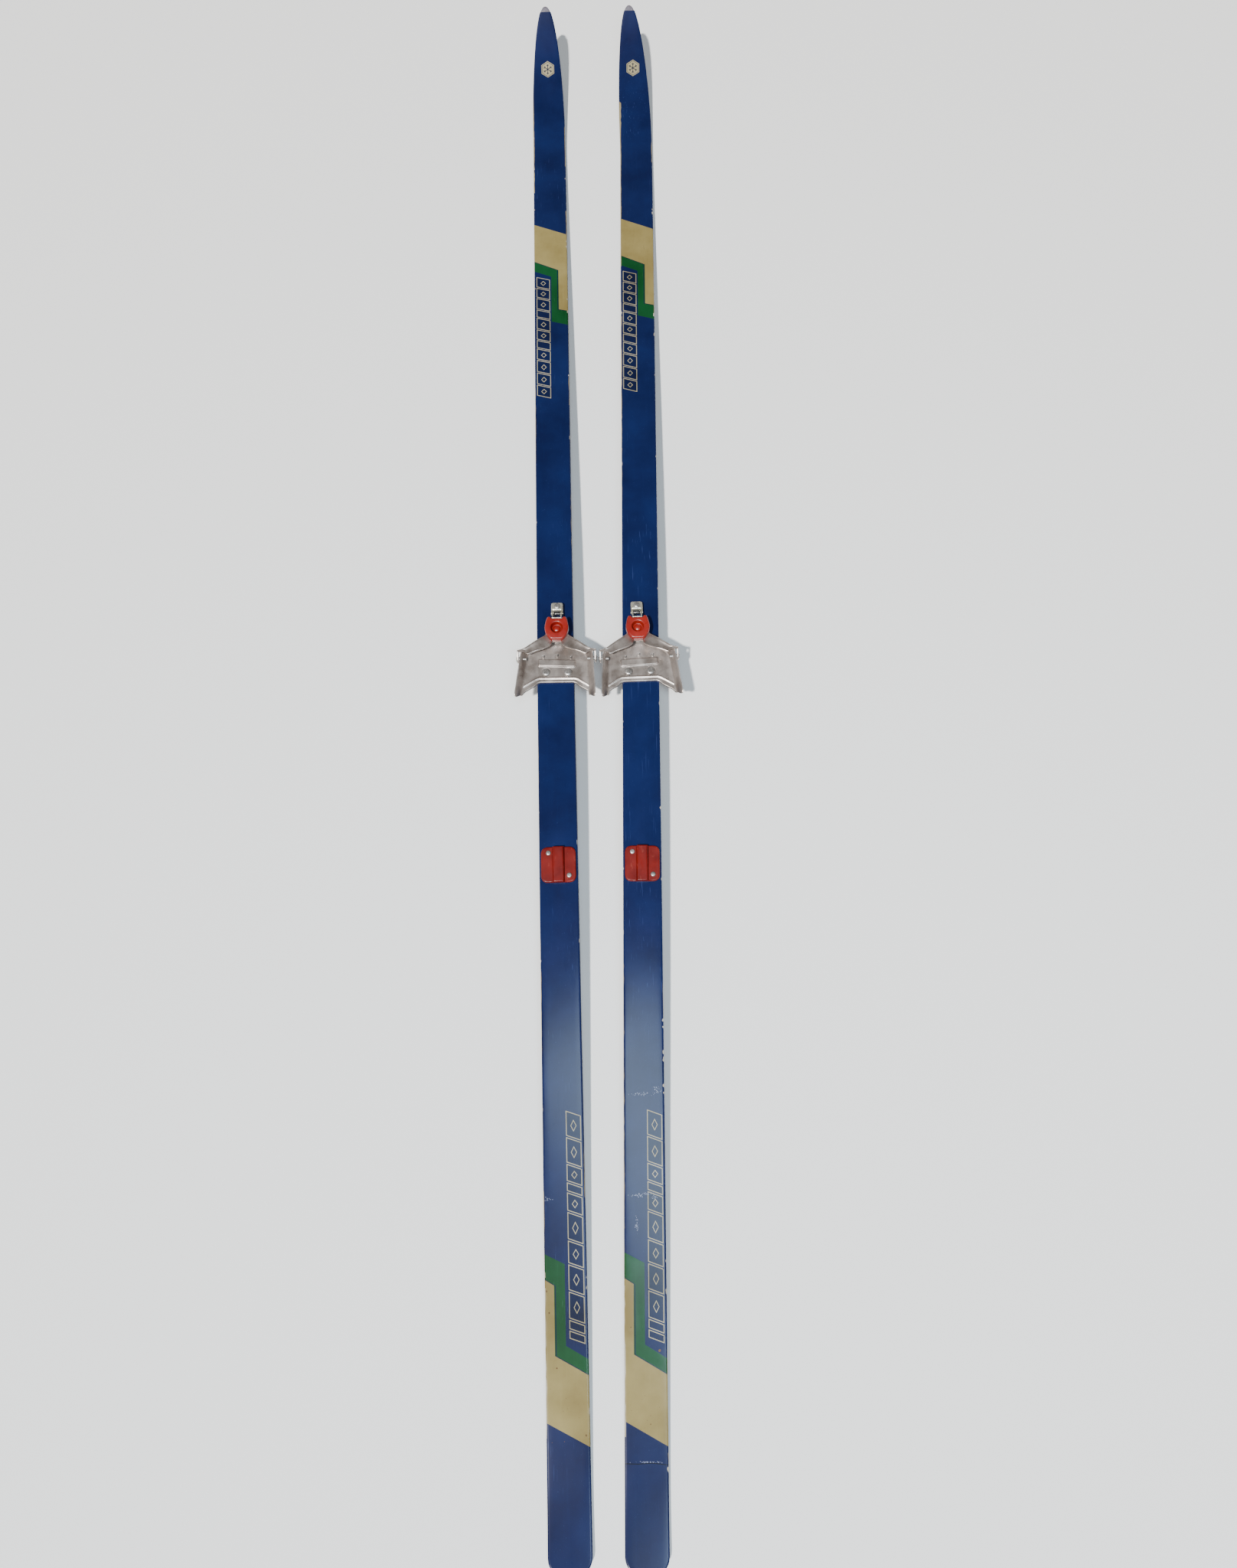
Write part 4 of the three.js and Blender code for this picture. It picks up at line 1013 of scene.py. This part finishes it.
def latch_spring():
    turns, steps, reach, radius = 3.5, 20, 3.6, 2.2
    path = []
    for i in range(int(turns * steps) + 1):
        angle = 2 * math.pi * i / steps
        y, z = LATCH_Y + radius * math.cos(angle), LATCH_Z + radius * math.sin(angle)
        path.append((-reach + 2 * reach * i / (turns * steps), y, z))
    return [swept(path, 0.4, 8)]


ACROSS = Matrix(((0, 0, 1, 0), (0, 1, 0, 0), (-1, 0, 0, 0), (0, 0, 0, 1)))      # turns Z to X


def build_binding(side, place):
    sign = SIDES[side]
    here = place @ Matrix.Diagonal((sign, 1, 1, 1))
    ski, bail_body, latch_body = f"{side}_ski", f"{side}_bail", f"{side}_latch"
    outward, inward = ("right", "left") if sign > 0 else ("left", "right")
    piece(f"{side}_toe_plate", here, toe_plate(), "alloy", ski)
    taper = [(1.2, 6.7), (0.85, 7.5), (0.45, 7.93), (0.05, PIN_TOP)]
    pin = lathe([(PIN_RADIUS, 0.6), (PIN_RADIUS, 6.1), *taper], 24)
    for name, (x, y) in zip((inward, "centre", outward), skewed(PINS)):
        piece(f"{side}_pin_{name}", here, [moved(pin, at(x, y, 0))], "steel", ski)
    for name, (x, y), turn in zip((inward, outward, "front"), PLATE_SCREWS, (0.5, 0.9, 0.2)):
        screw = [moved(part, at(x, y, 0)) for part in cross_screw(*PLATE_SCREW, SEAT + GAP, turn)]
        piece(f"{side}_plate_screw_{name}", here, screw, "steel", ski)
    out = LUG_INNER + LUG_SHEET + GAP
    stem = [(2.3, 38), (2.3, 39.1), (PIVOT_RADIUS, 39.1), (PIVOT_RADIUS, 45.3), (3, 45.3), (3, 46.7)]
    stem += [(PIVOT_RADIUS, 46.7), (PIVOT_RADIUS, out)]
    rivet = lathe(stem + dome(3.6, 1.2, out), 32)
    for name, turn in ((outward, Matrix.Identity(4)), (inward, Matrix.Diagonal((-1, 1, 1, 1)))):
        turned = moved(rivet, turn @ at(0, PIVOT_Y, PIVOT_Z) @ ACROSS)
        piece(f"{side}_pivot_rivet_{name}", here, [turned], "steel", ski)
    piece(f"{side}_bail", here, bail(), "alloy", bail_body)
    piece(f"{side}_pole_cup", here, knob(), "knob", bail_body)
    floor = KNOB_TOP - CUP_DEPTH + 0.05
    # The rivet's domed head takes the knob's red plastic: a painted reflection of the red cup walls in a
    # metal head.
    cup_rivet = lathe([(3, 5.9), (3, 7.1), (1.8, 7.1), (1.8, floor)] + dome(4.8, 3.2, floor), 36)
    piece(f"{side}_cup_rivet", here, [moved(cup_rivet, at(0, CUP_Y, 0))], "knob", bail_body)
    piece(f"{side}_latch_stirrup", here, latch_stirrup(), "chrome", latch_body)
    piece(f"{side}_latch_head", here, latch_head(), "chrome", ski)
    pin = lathe([(0.3, -8), (0.9, -7.9), (1.2, -7.5), (1.2, 7.5), (0.9, 7.9), (0.3, 8)], 20)
    pin = moved(pin, at(0, LATCH_Y, LATCH_Z) @ ACROSS)
    piece(f"{side}_latch_pin", here, [pin], "steel", ski)
    piece(f"{side}_latch_spring", here, latch_spring(), "spring", ski)
    screw = cross_screw(*LATCH_SCREW, HEAD_TOP + GAP, 0.4, 2)
    screw = [moved(part, at(0, LATCH_SCREW_Y, 0)) for part in screw]
    piece(f"{side}_latch_screw", here, screw, "steel", ski)


# ---- the heel plate ------------------------------------------------------------------------------
def heel_plate():
    outline = rounded(box_outline(HEEL_WIDTH, HEEL_LENGTH), HEEL_CORNER * 1.25, 9)
    ridge = [(0, HEEL_TOP), (4.9, HEEL_TOP), (5.7, 7.0), (6.3, 6.5), (6.7, 5.6), (6.9, 4.4)]
    ridge += [(7.05, 3.5), (7.6, HEEL_SHEET)]

    def height(x, y):
        d = distance((x, y), outline)
        return table(ridge, abs(x)) - ease_off(d, 1.4, 1.2)

    polygons = [inset(outline, d) for d in (0.05, 0.2, 0.5, 0.9, 1.4)]
    ends = (-HEEL_LENGTH / 2, HEEL_LENGTH / 2)
    lines = [[(sign * x, y) for y in ends] for x, _ in ridge[1:] for sign in (1, -1)]
    return [relief(outline, height, lambda x, y: GAP, polygons, lines, grid(-20, 20, -20, 20, 2))]


def build_heel(side, place):
    body = f"{side}_ski"
    piece(f"{side}_heel_plate", place, heel_plate(), "red", body)
    for name, (x, y), turn in zip(("front", "rear"), HEEL_SCREWS, (0.3, 0.8)):
        screw = [moved(part, at(x, y, 0)) for part in cross_screw(*HEEL_SCREW, HEEL_SHEET + GAP, turn)]
        piece(f"{side}_heel_screw_{name}", place, screw, "steel", body)


for side in SIDES:
    ski_place, binding_place, heel_place = frames(side)
    build_ski(side, ski_place)
    build_binding(side, binding_place)
    build_heel(side, heel_place)


# ---- floor, light and camera ---------------------------------------------------------------------
def add_floor():
    mesh = bpy.data.meshes.new("floor")
    mesh.from_pydata([(x, y, 0) for x, y in box_outline(120, 120)], [], [(0, 1, 2, 3)])
    paint = Paint("floor", Roughness=0.9)
    paint.shader.inputs["Base Color"].default_value = (0.97, 0.965, 0.955, 1)
    paint.shader.inputs["Emission Strength"].default_value = 0.12
    mesh.materials.append(paint.material)
    floor = bpy.data.objects.new("floor", mesh)
    bpy.context.collection.objects.link(floor)


def add_light(name, place, target, size, power, tint):
    lamp = bpy.data.lights.new(name, "AREA")
    lamp.shape = "RECTANGLE"
    lamp.size, lamp.size_y = size
    lamp.energy = power
    lamp.color = tint
    light = bpy.data.objects.new(name, lamp)
    light.location = place
    light.rotation_euler = (Vector(target) - Vector(place)).to_track_quat("-Z", "Y").to_euler()
    bpy.context.collection.objects.link(light)


def add_sun(towards, strength, angle, tint):
    lamp = bpy.data.lights.new("sun", "SUN")
    lamp.energy = strength
    lamp.angle = math.radians(angle)
    lamp.color = tint
    light = bpy.data.objects.new("sun", lamp)
    light.rotation_euler = Vector(towards).to_track_quat("Z", "Y").to_euler()
    bpy.context.collection.objects.link(light)


def add_world(strength):
    world = bpy.data.worlds.new("studio")
    world.use_nodes = True
    background = world.node_tree.nodes["Background"]
    background.inputs["Color"].default_value = (1, 0.95, 0.9, 1)
    background.inputs["Strength"].default_value = strength
    bpy.context.scene.world = world


# The camera that sees the CAD's outline where the photo does: 28 mm on 36 mm film, 1.46 m up.
def add_camera():
    lens = bpy.data.cameras.new("photo")
    lens.lens = 28.125
    lens.sensor_width = 36
    lens.clip_start = 0.01
    camera = bpy.data.objects.new("photo", lens)
    place = at(0.02257, -0.6455, 1.4554)
    for angle, axis in ((0.0192, "Z"), (18.0636, "X"), (-0.9566, "Z")):
        place = place @ Matrix.Rotation(math.radians(angle), 4, axis)
    camera.matrix_world = place
    bpy.context.collection.objects.link(camera)
    bpy.context.scene.camera = camera


add_floor()
add_sun((-0.26, -0.39, 0.88), 4.7, 2.5, (1, 0.985, 0.96))
add_light("overhead", (0.24, -0.95, 2.3), (0.1, -0.74, 0), (0.5, 1.25), 30, (0.66, 0.85, 1))
add_world(0.16)
add_camera()
